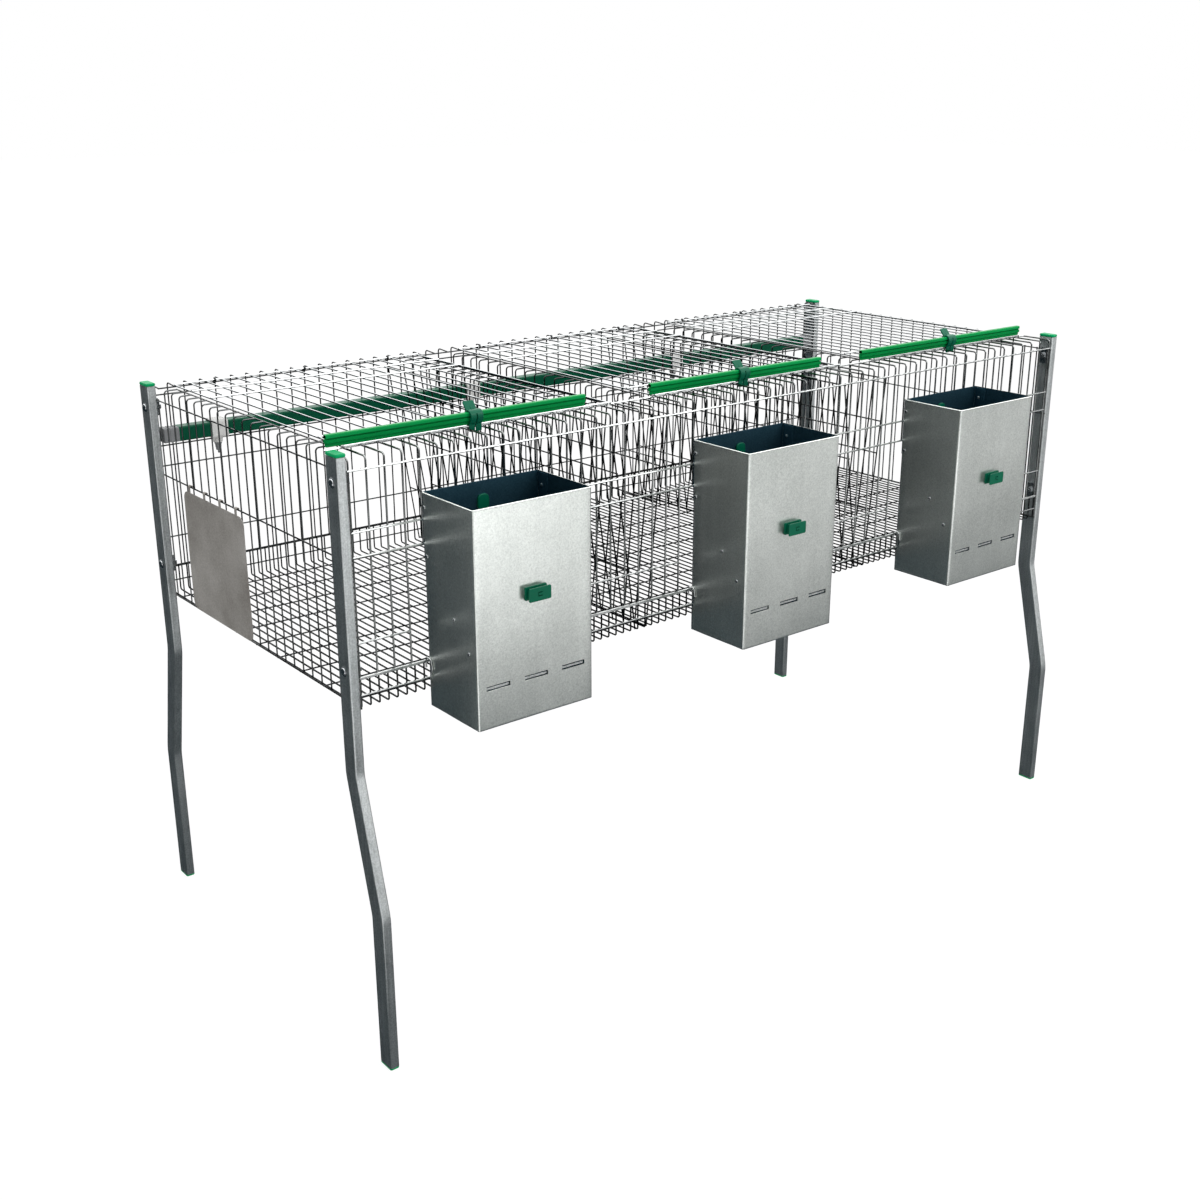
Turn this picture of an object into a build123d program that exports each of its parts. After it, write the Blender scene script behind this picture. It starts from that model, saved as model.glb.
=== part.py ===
"""Three-bay rabbit cage: wire bays on dog-leg tube legs, with top lids, hopper feeders and a water pipe."""
from build123d import *
import math
import os

# Driving dimensions, millimetres. X runs along the bays, Y from front to rear, Z up from the ground.
BAYS = ("left", "middle", "right")
BAY_PITCH = 504.0           # end wall to hay rack to hay rack to end wall
CAGE_DEPTH = 640.0          # front wall wires to rear wall wires
CAGE_TALL = 349.0           # floor wires to the wires of the roof strips
ROOF_DROP = 4.0             # wires of the roof strips below the legs' tops
WIRE = 2.2
WALL_PITCH = 27.4           # wanted spacing of the upright wires
LIP_PITCH = 14.5            # wanted spacing of the floor wires where they turn up
FLOOR_NET_PITCH = 30.2      # wanted spacing of the lengthwise gaps of the floor net
FLOOR_ROW_PITCH = 107.0
LIP_ROW_RISE = 17.6         # this and the next rises are heights above the floor wires
SILL_RISE = 44.0            # lowest wire of the front wall, on top of the floor's lip
MOUTH_ROW_RISE = 94.0
MOUTH_TOP_RISE = 215.0
HOOK_ROW_RISE = 249.0       # the wire that carries the feeders
END_ROW_RISE = 207.0        # the wire that carries the side plate
WALL_TOP_DROP = 16.0        # top wires of front and rear wall below the roof strips
END_TOP_DROP = 19.0
FRONT_STRIP = 60.0
REAR_STRIP = 32.0
SIDE_STRIP = 22.0
REAR_RISE = 2.5             # the rear strip slopes up from its end wire to its bends
STRIP_BEND = 5.0
STRIP_CLEAR = 10.0
RACK_LEFT_TOP = 62.0        # sides of a hay rack from the line between its two bays, at the top and the foot
RACK_LEFT_FOOT = 13.0
RACK_RIGHT_TOP = 40.0
RACK_RIGHT_FOOT = 8.0
RACK_RISES = (101.0, 201.0)
RACK_STRIP = 40.0           # roof strip over the left side of a hay rack

# Legs
TUBE_X = 15.0
TUBE_Y = 30.0
TUBE_WALL = 1.5
TUBE_CORNER = 3.0
TUBE_TOP_Z = 907.0
LEG_PROUD = 3.0             # leg face in front of the wall wires
KINK_DROP = 101.0           # upper kink below the floor wires
KINK_LOW_Z = 248.0
SPLAY = 51.0
KINK_BEND = 70.0
PLUG_LIP = 3.0
PLUG_DEEP = 22.0
PLUG_FIT = 0.1
CAP_LIP = 5.0
CAP_PROUD = 0.4
CAP_ROUND = 2.0
BOLT_RADIUS = 3.0
BOLT_HEAD_RADIUS = 6.0
BOLT_HEAD = 3.6
BOLT_ROUND = 2.6
BOLT_FIT = 0.2
BOLT_RISE = 54.0            # lower bolts above the floor wires
BOLT_DROP = 31.0            # upper bolts below the roof strips
CLAMP_WIDE = 14.0
CLAMP_TALL = 28.0
CLAMP_THICK = 2.5
NUT_ACROSS = 10.0
NUT_THICK = 5.0

# Lids
LID_GAP = 0.4               # lid's lower wires above the strips that they lie on
LID_SIDE_GAP = 5.5
LID_LAP = 6.0               # lid past the end wire of the front strip
LID_ROW_PITCH = 69.0
LID_FRONT_ROWS = 2
LID_REAR_ROWS = 3
HINGE_OFFSET = 4.0          # lid's rear wire in front of the strip's end wire
RING_WIRE = 1.6
RING_WIDE = 2.0
RING_CLEAR = 0.35
RING_SPREAD = 160.0
HANDLE_LENGTHS = (433.0, 377.0, 443.0)
HANDLE_SHIFTS = (-36.0, -8.0, 0.0)
HANDLE_DEEP = 8.0
HANDLE_TALL = 12.6
HANDLE_ROUND = 2.5
HANDLE_GROOVE = 1.2
HANDLE_LIFT = 4.8           # web between the lid's front wire and the grip
LATCH_SHIFTS = (-17.0, -13.0, 13.0)
LATCH_WIDE = 21.0
LATCH_WALL = 2.4
LATCH_CLEAR = 0.4
LATCH_FOOT = 22.0
LATCH_TAB = 16.0
LATCH_LEAN = 40.0

# Feeders
FEEDER_WIDE = 196.0
FEEDER_DEEP = 123.0
FEEDER_TALL = 312.0
FEEDER_DROP = 24.0          # hopper's foot below the floor wires
FEEDER_SHIFT = -53.0        # feeder's middle from the bay's middle
FEEDER_GAP = 0.5            # back of the feeder in front of the wall wires
SHEET = 1.0
TROUGH_LIP = 66.0
BACK_TALL = 96.0
BAFFLE_FRONT = 15.0         # clear gap between the baffle and the front sheet
BAFFLE_DROP = 120.0
MOUTH_LEFT = 122.0          # left edge of the feeding gap from the feeder's middle
MOUTH_GAPS = 8
SLOT_LONG = 39.5
SLOT_TALL = 7.0
SLOT_SPACING = 64.0
SLOT_Z = 59.0
RIVET_RADIUS = 1.6
RIVET_HEAD = 2.8
RIVET_THICK = 1.0
RIVET_FIT = 0.05
RIVET_SPOTS = ((53.0, 164.0), (19.0, 204.0), (118.0, 21.0), (116.0, 90.0))
HOOK_WIDE = 19.0
HOOK_THICK = 3.5
HOOK_HEAD = 24.0
HOOK_RISE = 19.0
HOOK_DROP = 9.0
HOOK_CLEAR = 0.4
SHANK_TALL = 5.0
CLIP_WIDE = 37.0
CLIP_TALL = 19.5
CLIP_PLATE = 2.0
CLIP_GAP = 8.0
CLIP_CORE = 12.0
CLIP_Z = 181.5
CLIP_SLOT_WIDE = 7.0
CLIP_SLOT_TALL = 4.0
CLIP_SLOT_SPACING = 16.0
CORNER_HOOK_X = 82.0
CORNER_HOOK_LEG = 22.0

# Water line
PIPE = 24.0
PIPE_WALL = 2.0
PIPE_CORNER = 2.0
PIPE_RISE = 270.0           # pipe's middle above the floor wires
PIPE_END_GAP = 30.0
PLUG_BODY = 26.0
PLUG_INSERT = 18.0
SADDLE_SHIFT = -151.0
SADDLE_WIDE = 28.0
SADDLE_WALL = 3.0
SADDLE_FIT = 0.1
BOSS_RADIUS = 8.0
BOSS_LONG = 9.0
NIPPLE_RADIUS = 5.0
NIPPLE_LONG = 20.0
NIPPLE_SET = 6.0            # threaded length inside the boss
PIN_RADIUS = 1.6
PIN_LONG = 18.0
PIN_OUT = 5.0
PIN_COLLAR = 2.6
PIN_FIT = 0.3

# Side plate
PLATE_WIDE = 214.0
PLATE_TALL = 198.0
PLATE_SHIFT = 110.0         # plate's middle behind the cage's middle
PLATE_DROP = 9.0            # plate's top edge below the wire that carries it
PLATE_ROUND = 14.0
PLATE_HOOK_WIDE = 7.0
PLATE_HOOKS = 4
NEST_GAPS = 7

# Places worked out from the sizes above
HALF = WIRE / 2
ROOF_Z = TUBE_TOP_Z - ROOF_DROP
FLOOR_Z = ROOF_Z - CAGE_TALL
LIP_ROW_Z = FLOOR_Z + LIP_ROW_RISE
SILL_Z = FLOOR_Z + SILL_RISE
MOUTH_ROW_Z = FLOOR_Z + MOUTH_ROW_RISE
MOUTH_TOP_Z = FLOOR_Z + MOUTH_TOP_RISE
HOOK_ROW_Z = FLOOR_Z + HOOK_ROW_RISE
END_ROW_Z = FLOOR_Z + END_ROW_RISE
WALL_TOP_Z = ROOF_Z - WALL_TOP_DROP
END_TOP_Z = ROOF_Z - END_TOP_DROP
KINK_HIGH_Z = FLOOR_Z - KINK_DROP
BOLT_ROWS_Z = (FLOOR_Z + BOLT_RISE, ROOF_Z - BOLT_DROP)
FEEDER_Z = FLOOR_Z - FEEDER_DROP
PIPE_Z = FLOOR_Z + PIPE_RISE
END_X = len(BAYS) * BAY_PITCH / 2
LEG_X = END_X + HALF + TUBE_X / 2
CLIP_REACH = CLIP_PLATE * 2 + CLIP_GAP
FRONT_REACH = CAGE_DEPTH / 2 + HALF + FEEDER_GAP + FEEDER_DEEP + CLIP_REACH
REAR_REACH = CAGE_DEPTH / 2 + LEG_PROUD + SPLAY
CAGE_Y = (FRONT_REACH - REAR_REACH) / 2
FRONT_Y = CAGE_Y - CAGE_DEPTH / 2
REAR_Y = CAGE_Y + CAGE_DEPTH / 2
LID_Z = ROOF_Z + WIRE + LID_GAP
LID_TOP_Z = LID_Z + WIRE
LID_FRONT_Y = FRONT_Y + FRONT_STRIP - LID_LAP
HINGE_Y = REAR_Y - REAR_STRIP - HINGE_OFFSET
HANDLE_Z = LID_TOP_Z + HALF + HANDLE_LIFT + HANDLE_TALL / 2
FEEDER_BACK_Y = FRONT_Y - HALF - FEEDER_GAP
FEEDER_FRONT_Y = FEEDER_BACK_Y - FEEDER_DEEP
FEEDER_TOP_Z = FEEDER_Z + FEEDER_TALL
PIPE_Y = REAR_Y - HALF - WIRE - PIPE / 2
PLATE_Y = CAGE_Y + PLATE_SHIFT
RING_BORE = HALF * math.sqrt(2) + RING_CLEAR


def evenly(first, last, pitch):
    """Places from first to last, in the whole number of steps nearest to the pitch."""
    gaps = max(1, round((last - first) / pitch))
    return [first + (last - first) * step / gaps for step in range(gaps + 1)]


def nearest(places, wanted):
    """Index of the place nearest to the wanted one."""
    return min(range(len(places)), key=lambda index: abs(places[index] - wanted))


def gap_middle(places, wanted):
    """Middle of the gap between two places that lies nearest to the wanted place."""
    middles = [(a + b) / 2 for a, b in zip(places, places[1:])]
    return middles[nearest(middles, wanted)]


def widest_gap(places, wanted, reach):
    """Middle of the widest gap between the places within reach of the wanted one."""
    near = sorted(place for place in places if abs(place - wanted) <= reach)
    low, high = max(zip(near, near[1:]), key=lambda pair: pair[1] - pair[0])
    return (low + high) / 2


UPRIGHTS = evenly(-END_X + WIRE, END_X - WIRE, WALL_PITCH)
END_UPRIGHTS = evenly(FRONT_Y, REAR_Y, WALL_PITCH)
BAY_X = [(index - (len(BAYS) - 1) / 2) * BAY_PITCH for index in range(len(BAYS))]
RACK_X = [(a + b) / 2 for a, b in zip(BAY_X, BAY_X[1:])]
FEEDER_X = [gap_middle(UPRIGHTS, x + FEEDER_SHIFT) for x in BAY_X]
UPRIGHT_PITCH = UPRIGHTS[1] - UPRIGHTS[0]


def wall_plane(y):
    """Plane of a front or rear wall, with X across and Z up."""
    return Plane(origin=(0, y, 0), x_dir=(1, 0, 0), z_dir=(0, -1, 0))


def end_plane(x):
    """Plane of an end wall or a side profile, with Y across and Z up."""
    return Plane(origin=(x, 0, 0), x_dir=(0, 1, 0), z_dir=(1, 0, 0))


def level_plane(z):
    return Plane(origin=(0, 0, z))


def window(u0, v0, u1, v1):
    """Closed rectangle between two corners."""
    return Wire.make_polygon([(u0, v0), (u1, v0), (u1, v1), (u0, v1)])


def net(plane, across, up, merged=()):
    """Flat welded net: one face with a hole in each gap, as thick as the wire about its plane.

    Each merged entry is a block of gaps that makes one opening: first and last wire across, then up.
    """
    holes = []
    taken = set()
    for a, b, c, d in merged:
        holes.append(window(across[a] + HALF, up[c] + HALF, across[b] - HALF, up[d] - HALF))
        taken |= {(i, j) for i in range(a, b) for j in range(c, d)}
    for i in range(len(across) - 1):
        for j in range(len(up) - 1):
            if (i, j) not in taken:
                holes.append(window(across[i] + HALF, up[j] + HALF, across[i + 1] - HALF, up[j + 1] - HALF))
    rim = window(across[0] - HALF, up[0] - HALF, across[-1] + HALF, up[-1] + HALF)
    face = Face(rim, holes)
    return extrude(plane.location * face, amount=HALF, both=True)


def roof_strip(places, depth, foot_z, location, rise=0.0):
    """Comb of upright wires that bend over at the roof and end on one long wire.

    The wires stand at the given places along local X, go up from foot_z and lean over towards local +Y, where
    they slope down by the rise to the long wire.
    """
    slope = rise / depth
    half = HALF * math.hypot(1, slope)
    far = depth + HALF
    corner = (-HALF, ROOF_Z + slope * far + half)
    inner = (HALF, ROOF_Z + slope * (depth - HALF) - half)
    tip = [(far, ROOF_Z - slope * HALF + half), (far, ROOF_Z - slope * HALF - half)]
    ell = Polygon((-HALF, foot_z), corner, *tip, inner, (HALF, foot_z), align=None)
    ell = fillet(ell.vertices().sort_by_distance(corner)[0], STRIP_BEND + HALF)
    ell = fillet(ell.vertices().sort_by_distance(inner)[0], STRIP_BEND - HALF)
    sheet = across_x(ell, (places[0] + places[-1]) / 2, places[-1] - places[0] + WIRE)
    gaps = []
    for left, right in zip(places, places[1:]):
        tall = corner[1] - foot_z + WIRE * 2
        gap = Box(right - left - WIRE, depth - HALF + WIRE, tall, align=(Align.MIN, Align.MIN, Align.MIN))
        gaps.append(Pos(left + HALF, -WIRE, foot_z - HALF) * gap)
    return location * (sheet - gaps)


def rod(radius, x0, x1, y, z):
    """Round bar along X from x0 to x1."""
    bar = Cylinder(radius, abs(x1 - x0), align=(Align.CENTER, Align.CENTER, Align.MIN))
    return Pos(min(x0, x1), y, z) * Rot(0, 90, 0) * bar


def slab(x0, x1, y0, y1, z0, z1):
    """Rectangular block between two corners."""
    return Pos((x0 + x1) / 2, (y0 + y1) / 2, (z0 + z1) / 2) * Box(x1 - x0, y1 - y0, z1 - z0)


def across_x(profile, middle, width):
    """Side profile in Y and Z, given the width about its middle along X."""
    return extrude(end_plane(middle).location * profile, amount=width / 2, both=True)


def leg(side, end):
    """Dog-leg tube: upright, then splayed outwards between the two kinks, then upright to its foot."""
    x = side * LEG_X
    top_y = leg_y(end)
    foot_y = top_y + end * SPLAY
    corners = [(top_y, TUBE_TOP_Z), (top_y, KINK_HIGH_Z), (foot_y, KINK_LOW_Z), (foot_y, PLUG_LIP)]
    path = FilletPolyline(*[(x, y, z) for y, z in corners], radius=KINK_BEND)
    section = Plane(origin=(x, top_y, TUBE_TOP_Z), x_dir=(1, 0, 0), z_dir=(0, 0, -1))
    outer = sweep(section * RectangleRounded(TUBE_X, TUBE_Y, TUBE_CORNER), path=path)
    bore = RectangleRounded(TUBE_X - 2 * TUBE_WALL, TUBE_Y - 2 * TUBE_WALL, TUBE_CORNER - TUBE_WALL)
    tube = outer - sweep(section * bore, path=path)
    holes = [rod(BOLT_RADIUS + BOLT_FIT, x - TUBE_X, x + TUBE_X, top_y, z) for z in BOLT_ROWS_Z]
    return tube - holes


def leg_y(end):
    """Middle of a leg's upper stretch, at the front for -1 and the rear for 1."""
    return CAGE_Y + end * (CAGE_DEPTH / 2 + LEG_PROUD - TUBE_Y / 2)


def tube_plug(lip, proud, edge):
    """Plug for a tube end, lip upwards: the lip covers the tube's edge and the insert fills its bore."""
    cover = extrude(RectangleRounded(TUBE_X + 2 * proud, TUBE_Y + 2 * proud, TUBE_CORNER + proud), lip)
    cover = fillet(cover.faces().sort_by(Axis.Z)[-1].edges(), edge)
    room = 2 * (TUBE_WALL + PLUG_FIT)
    insert = extrude(RectangleRounded(TUBE_X - room, TUBE_Y - room, TUBE_CORNER - TUBE_WALL), -PLUG_DEEP)
    return cover + insert


def leg_bolt(side, end, z):
    """Domed bolt from the leg's outer face through tube, wires, clamp plate and nut."""
    grip = TUBE_X + WIRE + CLAMP_THICK + NUT_THICK
    head = Cylinder(BOLT_HEAD_RADIUS, BOLT_HEAD, align=(Align.CENTER, Align.CENTER, Align.MIN))
    head = fillet(head.faces().sort_by(Axis.Z)[-1].edges(), BOLT_ROUND)
    shank = Cylinder(BOLT_RADIUS, grip, align=(Align.CENTER, Align.CENTER, Align.MAX))
    return Pos(side * (LEG_X + TUBE_X / 2), leg_y(end), z) * Rot(0, side * 90, 0) * (head + shank)


def leg_nut(side, end, z):
    nut = extrude(RegularPolygon(NUT_ACROSS / 2, 6, major_radius=False), NUT_THICK)
    nut = nut - Cylinder(BOLT_RADIUS + BOLT_FIT, 2 * NUT_THICK)
    return Pos(side * (END_X - HALF - CLAMP_THICK), leg_y(end), z) * Rot(0, -side * 90, 0) * nut


def clamp_plate(side, end, z):
    """Small plate that presses the end wall's wires against the leg."""
    face = side * (END_X - HALF)
    back = face - side * CLAMP_THICK
    y = leg_y(end)
    plate = Pos((face + back) / 2, y, z) * Box(CLAMP_THICK, CLAMP_WIDE, CLAMP_TALL)
    return plate - rod(BOLT_RADIUS + BOLT_FIT, back - NUT_THICK, back + NUT_THICK, y, z)


def floor_net():
    """Level floor between the four walls."""
    across = evenly(-END_X + WIRE, END_X - WIRE, FLOOR_NET_PITCH)
    rows = evenly(FRONT_Y + WIRE, REAR_Y - WIRE, FLOOR_ROW_PITCH)
    return net(level_plane(FLOOR_Z), across, rows)


def floor_lip(y):
    """Upturned front or rear edge of the floor, up to the sill wire of the wall above it."""
    across = evenly(-END_X + WIRE, END_X - WIRE, LIP_PITCH)
    return net(wall_plane(y), across, [FLOOR_Z, LIP_ROW_Z, SILL_Z - WIRE])


def front_wall():
    """Front wall with one feeding gap behind each feeder."""
    rows = [SILL_Z, MOUTH_ROW_Z, MOUTH_TOP_Z, HOOK_ROW_Z, WALL_TOP_Z]
    mouths = []
    for x in FEEDER_X:
        first = nearest(UPRIGHTS, x - MOUTH_LEFT)
        mouths.append((first, first + MOUTH_GAPS, 0, 2))
    return net(wall_plane(FRONT_Y), UPRIGHTS, rows, mouths)


def rear_wall():
    rows = [SILL_Z, MOUTH_ROW_Z, MOUTH_TOP_Z, HOOK_ROW_Z, WALL_TOP_Z]
    return net(wall_plane(REAR_Y), UPRIGHTS, rows)


def nest_wires():
    """First and last upright of the nest opening behind the side plate."""
    first = nearest(END_UPRIGHTS, PLATE_Y - UPRIGHT_PITCH * NEST_GAPS / 2)
    return first, first + NEST_GAPS


def end_wall(side):
    """End wall, with the nest opening on the left one."""
    rows = [FLOOR_Z, END_ROW_Z, END_TOP_Z]
    opening = [(*nest_wires(), 0, 1)] if side < 0 else []
    return net(end_plane(side * END_X), END_UPRIGHTS, rows, opening)


def rack_side(foot_x, top_x):
    """Leaning side of the V-shaped hay rack between two bays, with a passage where it carries the water pipe.

    The net leans from its foot at the floor to its top. Its lowest wire lies on the floor, and one wire lies
    just under the pipe.
    """
    lean = math.copysign(1, top_x - foot_x)
    tilt = math.atan2(abs(top_x - foot_x), END_TOP_Z - FLOOR_Z)
    reach = HALF * (math.cos(tilt) + math.sin(tilt))
    heights = [FLOOR_Z + HALF + reach, *(FLOOR_Z + rise for rise in RACK_RISES)]
    heights += [PIPE_Z - PIPE / 2 - reach, END_TOP_Z + HALF - reach]
    rows = [(z - FLOOR_Z) / math.cos(tilt) for z in heights]
    uprights = evenly(FRONT_Y + WIRE, REAR_Y - WIRE, WALL_PITCH)
    last = len(uprights) - 1
    facing = (math.cos(tilt), 0, -lean * math.sin(tilt))
    plane = Plane(origin=(foot_x, 0, FLOOR_Z), x_dir=(0, 1, 0), z_dir=facing)
    return net(plane, uprights, rows, [(last - 2, last, 3, 4)])


def hay_rack(x):
    """Both sides of a hay rack."""
    return [rack_side(x - RACK_LEFT_FOOT, x - RACK_LEFT_TOP), rack_side(x + RACK_RIGHT_FOOT, x + RACK_RIGHT_TOP)]


def side_strip(x, lean, depth=SIDE_STRIP):
    """Roof strip along an end wall or a side of a hay rack, between the front and rear strips."""
    low = FRONT_Y + FRONT_STRIP + STRIP_CLEAR
    high = REAR_Y - REAR_STRIP - STRIP_CLEAR
    places = [y for y in END_UPRIGHTS if low < y < high]
    middle = (places[0] + places[-1]) / 2
    local = [y - middle for y in places]
    return roof_strip(local, depth, END_TOP_Z + HALF, Pos(x, middle, 0) * Rot(0, 0, -lean * 90))


def lid_wires(index):
    """Places of a lid's wires from front to rear, from the strip on its left to the strip on its right."""
    walls = [-END_X, *(x + RACK_RIGHT_TOP for x in RACK_X)]
    left = walls[index] + SIDE_STRIP + LID_SIDE_GAP
    ends = [*(x - RACK_LEFT_TOP + RACK_STRIP for x in RACK_X), END_X - SIDE_STRIP - LID_SIDE_GAP]
    return evenly(left, ends[index], WALL_PITCH)


def lid_bars(index):
    """Wires of a lid: the ones from front to rear below, and the cross wires welded on top of them."""
    across = lid_wires(index)
    rows = [LID_FRONT_Y + LID_ROW_PITCH * step for step in range(LID_FRONT_ROWS)]
    rows += [HINGE_Y - LID_ROW_PITCH * step for step in reversed(range(LID_REAR_ROWS))]
    y0, y1 = rows[0] - HALF, rows[-1] + HALF
    x0, x1 = across[0] - HALF, across[-1] + HALF
    seam = LID_Z + HALF
    lower = [slab(x - HALF, x + HALF, y0, y1, LID_Z - HALF, seam) for x in across]
    upper = [slab(x0, x1, y - HALF, y + HALF, seam, LID_TOP_Z + HALF) for y in rows]
    return lower + upper


def lid_rings(index):
    """Wire rings round the rear strip's end wire and the lid's rear wire, which turns inside them."""
    middle = (lid_wires(index)[0] + lid_wires(index)[-1]) / 2
    wires = UPRIGHTS + lid_wires(index)
    rise = LID_TOP_Z - ROOF_Z
    spread = math.hypot(HINGE_OFFSET, rise)
    tilt = math.degrees(math.atan2(rise, -HINGE_OFFSET))
    hole = SlotCenterToCenter(spread, 2 * RING_BORE)
    band = SlotCenterToCenter(spread, 2 * (RING_BORE + RING_WIRE)) - hole
    profile = Pos(HINGE_Y + HINGE_OFFSET / 2, LID_TOP_Z - rise / 2) * Rot(0, 0, tilt) * band
    rings = []
    for step in (-1, 0, 1):
        x = widest_gap(wires, middle + step * RING_SPREAD, UPRIGHT_PITCH)
        rings.append(across_x(profile, x, RING_WIDE))
    return rings


def lid_handle(index):
    """Grooved grip along the front of a lid, on a web that stands on the lid's front wire."""
    grip = RectangleRounded(HANDLE_DEEP, HANDLE_TALL, HANDLE_ROUND)
    nick = Rot(0, 0, 45) * Rectangle(HANDLE_GROOVE * math.sqrt(2), HANDLE_GROOVE * math.sqrt(2))
    grip = grip - [Pos(HANDLE_DEEP / 2, 0) * nick, Pos(-HANDLE_DEEP / 2, 0) * nick]
    web_tall = HANDLE_LIFT + HANDLE_ROUND
    web = Pos(0, -HANDLE_TALL / 2 - HANDLE_LIFT + web_tall / 2) * Rectangle(WIRE, web_tall)
    profile = Pos(LID_FRONT_Y, HANDLE_Z) * (grip + web)
    return across_x(profile, BAY_X[index] + HANDLE_SHIFTS[index], HANDLE_LENGTHS[index])


def latch_x(index):
    return gap_middle(UPRIGHTS, BAY_X[index] + LATCH_SHIFTS[index])


def lid_latch(index):
    """Spring clip that turns on the grip: an open ring with a thumb tab above and a foot below."""
    corner = math.hypot(HANDLE_DEEP / 2 - HANDLE_ROUND, HANDLE_TALL / 2 - HANDLE_ROUND) + HANDLE_ROUND
    bore = max(corner, HANDLE_TALL / 2) + LATCH_CLEAR
    outer = bore + LATCH_WALL
    foot_face = HALF + LATCH_CLEAR
    ring = Circle(outer) - Circle(bore)
    past = outer + LATCH_WALL
    ring = ring - Polygon((-foot_face, 0), (-foot_face, -past), (past, -past), (past, 0), align=None)
    heel = (-foot_face - LATCH_WALL, -bore * 0.8)
    ankle = (-foot_face, heel[1])
    toe = (-foot_face, -LATCH_FOOT)
    foot = Polygon(heel, ankle, toe, (heel[0], -LATCH_FOOT), align=None)
    ring = ring + (foot - Circle(bore))
    root = (bore + outer) / 2
    tab = Rot(0, 0, 90 - LATCH_LEAN) * Pos(root + LATCH_TAB / 2, 0) * Rectangle(LATCH_TAB, LATCH_WALL)
    profile = Pos(LID_FRONT_Y, HANDLE_Z) * (ring + tab)
    return across_x(profile, latch_x(index), LATCH_WIDE)


def feeder_shell(x):
    """Front, sides, bottom and back lip of the hopper, open at the top, with dust slots in the front."""
    half = FEEDER_WIDE / 2
    shell = slab(x - half, x + half, FEEDER_FRONT_Y, FEEDER_BACK_Y, FEEDER_Z, FEEDER_TOP_Z)
    inside = half - SHEET
    room = FEEDER_TOP_Z + SHEET
    front, rear = FEEDER_FRONT_Y + SHEET, FEEDER_BACK_Y - SHEET
    shell = shell - slab(x - inside, x + inside, front, rear, FEEDER_Z + SHEET, room)
    back = slab(x - inside, x + inside, rear - SHEET, FEEDER_BACK_Y + SHEET, FEEDER_Z + TROUGH_LIP, room)
    slots = []
    for step in (-1, 0, 1):
        slot = Box(SLOT_LONG, 4 * SHEET, SLOT_TALL)
        slots.append(Pos(x + step * SLOT_SPACING, FEEDER_FRONT_Y, FEEDER_Z + SLOT_Z) * slot)
    holes = []
    for deep, down in RIVET_SPOTS:
        y = FEEDER_FRONT_Y + deep
        z = FEEDER_TOP_Z - down
        holes.append(rod(RIVET_RADIUS + RIVET_FIT, x - FEEDER_WIDE, x + FEEDER_WIDE, y, z))
    return shell - [back, *slots, *holes]


def feeder_back(x):
    """Upper back sheet between the sides, with a slot for the hook's shank."""
    inside = FEEDER_WIDE / 2 - SHEET
    rear = FEEDER_BACK_Y - SHEET
    sheet = slab(x - inside, x + inside, rear, FEEDER_BACK_Y, FEEDER_TOP_Z - BACK_TALL, FEEDER_TOP_Z)
    shank_z = HOOK_ROW_Z + HALF + HOOK_CLEAR + SHANK_TALL / 2
    slot = Box(HOOK_WIDE + 2 * HOOK_CLEAR, 4 * SHEET, SHANK_TALL + HOOK_CLEAR)
    return sheet - Pos(x, rear, shank_z) * slot


def feeder_baffle(x):
    """Sloped sheet from the foot of the back sheet down to a gap behind the front sheet."""
    inside = FEEDER_WIDE - 2 * SHEET
    top = FEEDER_TOP_Z - BACK_TALL
    back = FEEDER_BACK_Y
    front = FEEDER_FRONT_Y + SHEET + BAFFLE_FRONT
    low = top - BAFFLE_DROP
    profile = Polygon((back - SHEET, top), (back, top), (front + SHEET, low), (front, low), align=None)
    return across_x(profile, x, inside)


def feeder_rivets(x):
    """Blind rivets through the side sheets, at the back sheet and along the baffle."""
    rivets = []
    for side in (-1, 1):
        face = x + side * FEEDER_WIDE / 2
        for deep, down in RIVET_SPOTS:
            y = FEEDER_FRONT_Y + deep
            z = FEEDER_TOP_Z - down
            head = Cylinder(RIVET_HEAD, RIVET_THICK, align=(Align.CENTER, Align.CENTER, Align.MIN))
            head = fillet(head.faces().sort_by(Axis.Z)[-1].edges(), RIVET_THICK * 0.6)
            shank = Cylinder(RIVET_RADIUS, SHEET, align=(Align.CENTER, Align.CENTER, Align.MAX))
            rivets.append(Pos(face, y, z) * Rot(0, side * 90, 0) * (head + shank))
    return rivets


def feeder_hook(x):
    """Moulded hook: a rounded head inside the hopper, a shank through its back and a nose over the wire."""
    low = HOOK_ROW_Z + HALF + HOOK_CLEAR
    inner = FEEDER_BACK_Y - SHEET
    nose = FRONT_Y + HALF + HOOK_CLEAR
    top = HOOK_ROW_Z + HALF + HOOK_CLEAR + HOOK_RISE
    head = RectangleRounded(HOOK_WIDE, HOOK_HEAD, HOOK_WIDE * 0.4)
    head = extrude(wall_plane(inner).location * (Pos(x, top - HOOK_HEAD / 2) * head), amount=HOOK_THICK)
    arm = slab(x - HOOK_WIDE / 2, x + HOOK_WIDE / 2, inner, nose + HOOK_THICK, low, low + SHANK_TALL)
    beak = slab(x - HOOK_WIDE / 2, x + HOOK_WIDE / 2, nose, nose + HOOK_THICK, low - HOOK_DROP, low)
    return head + arm + beak


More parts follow.
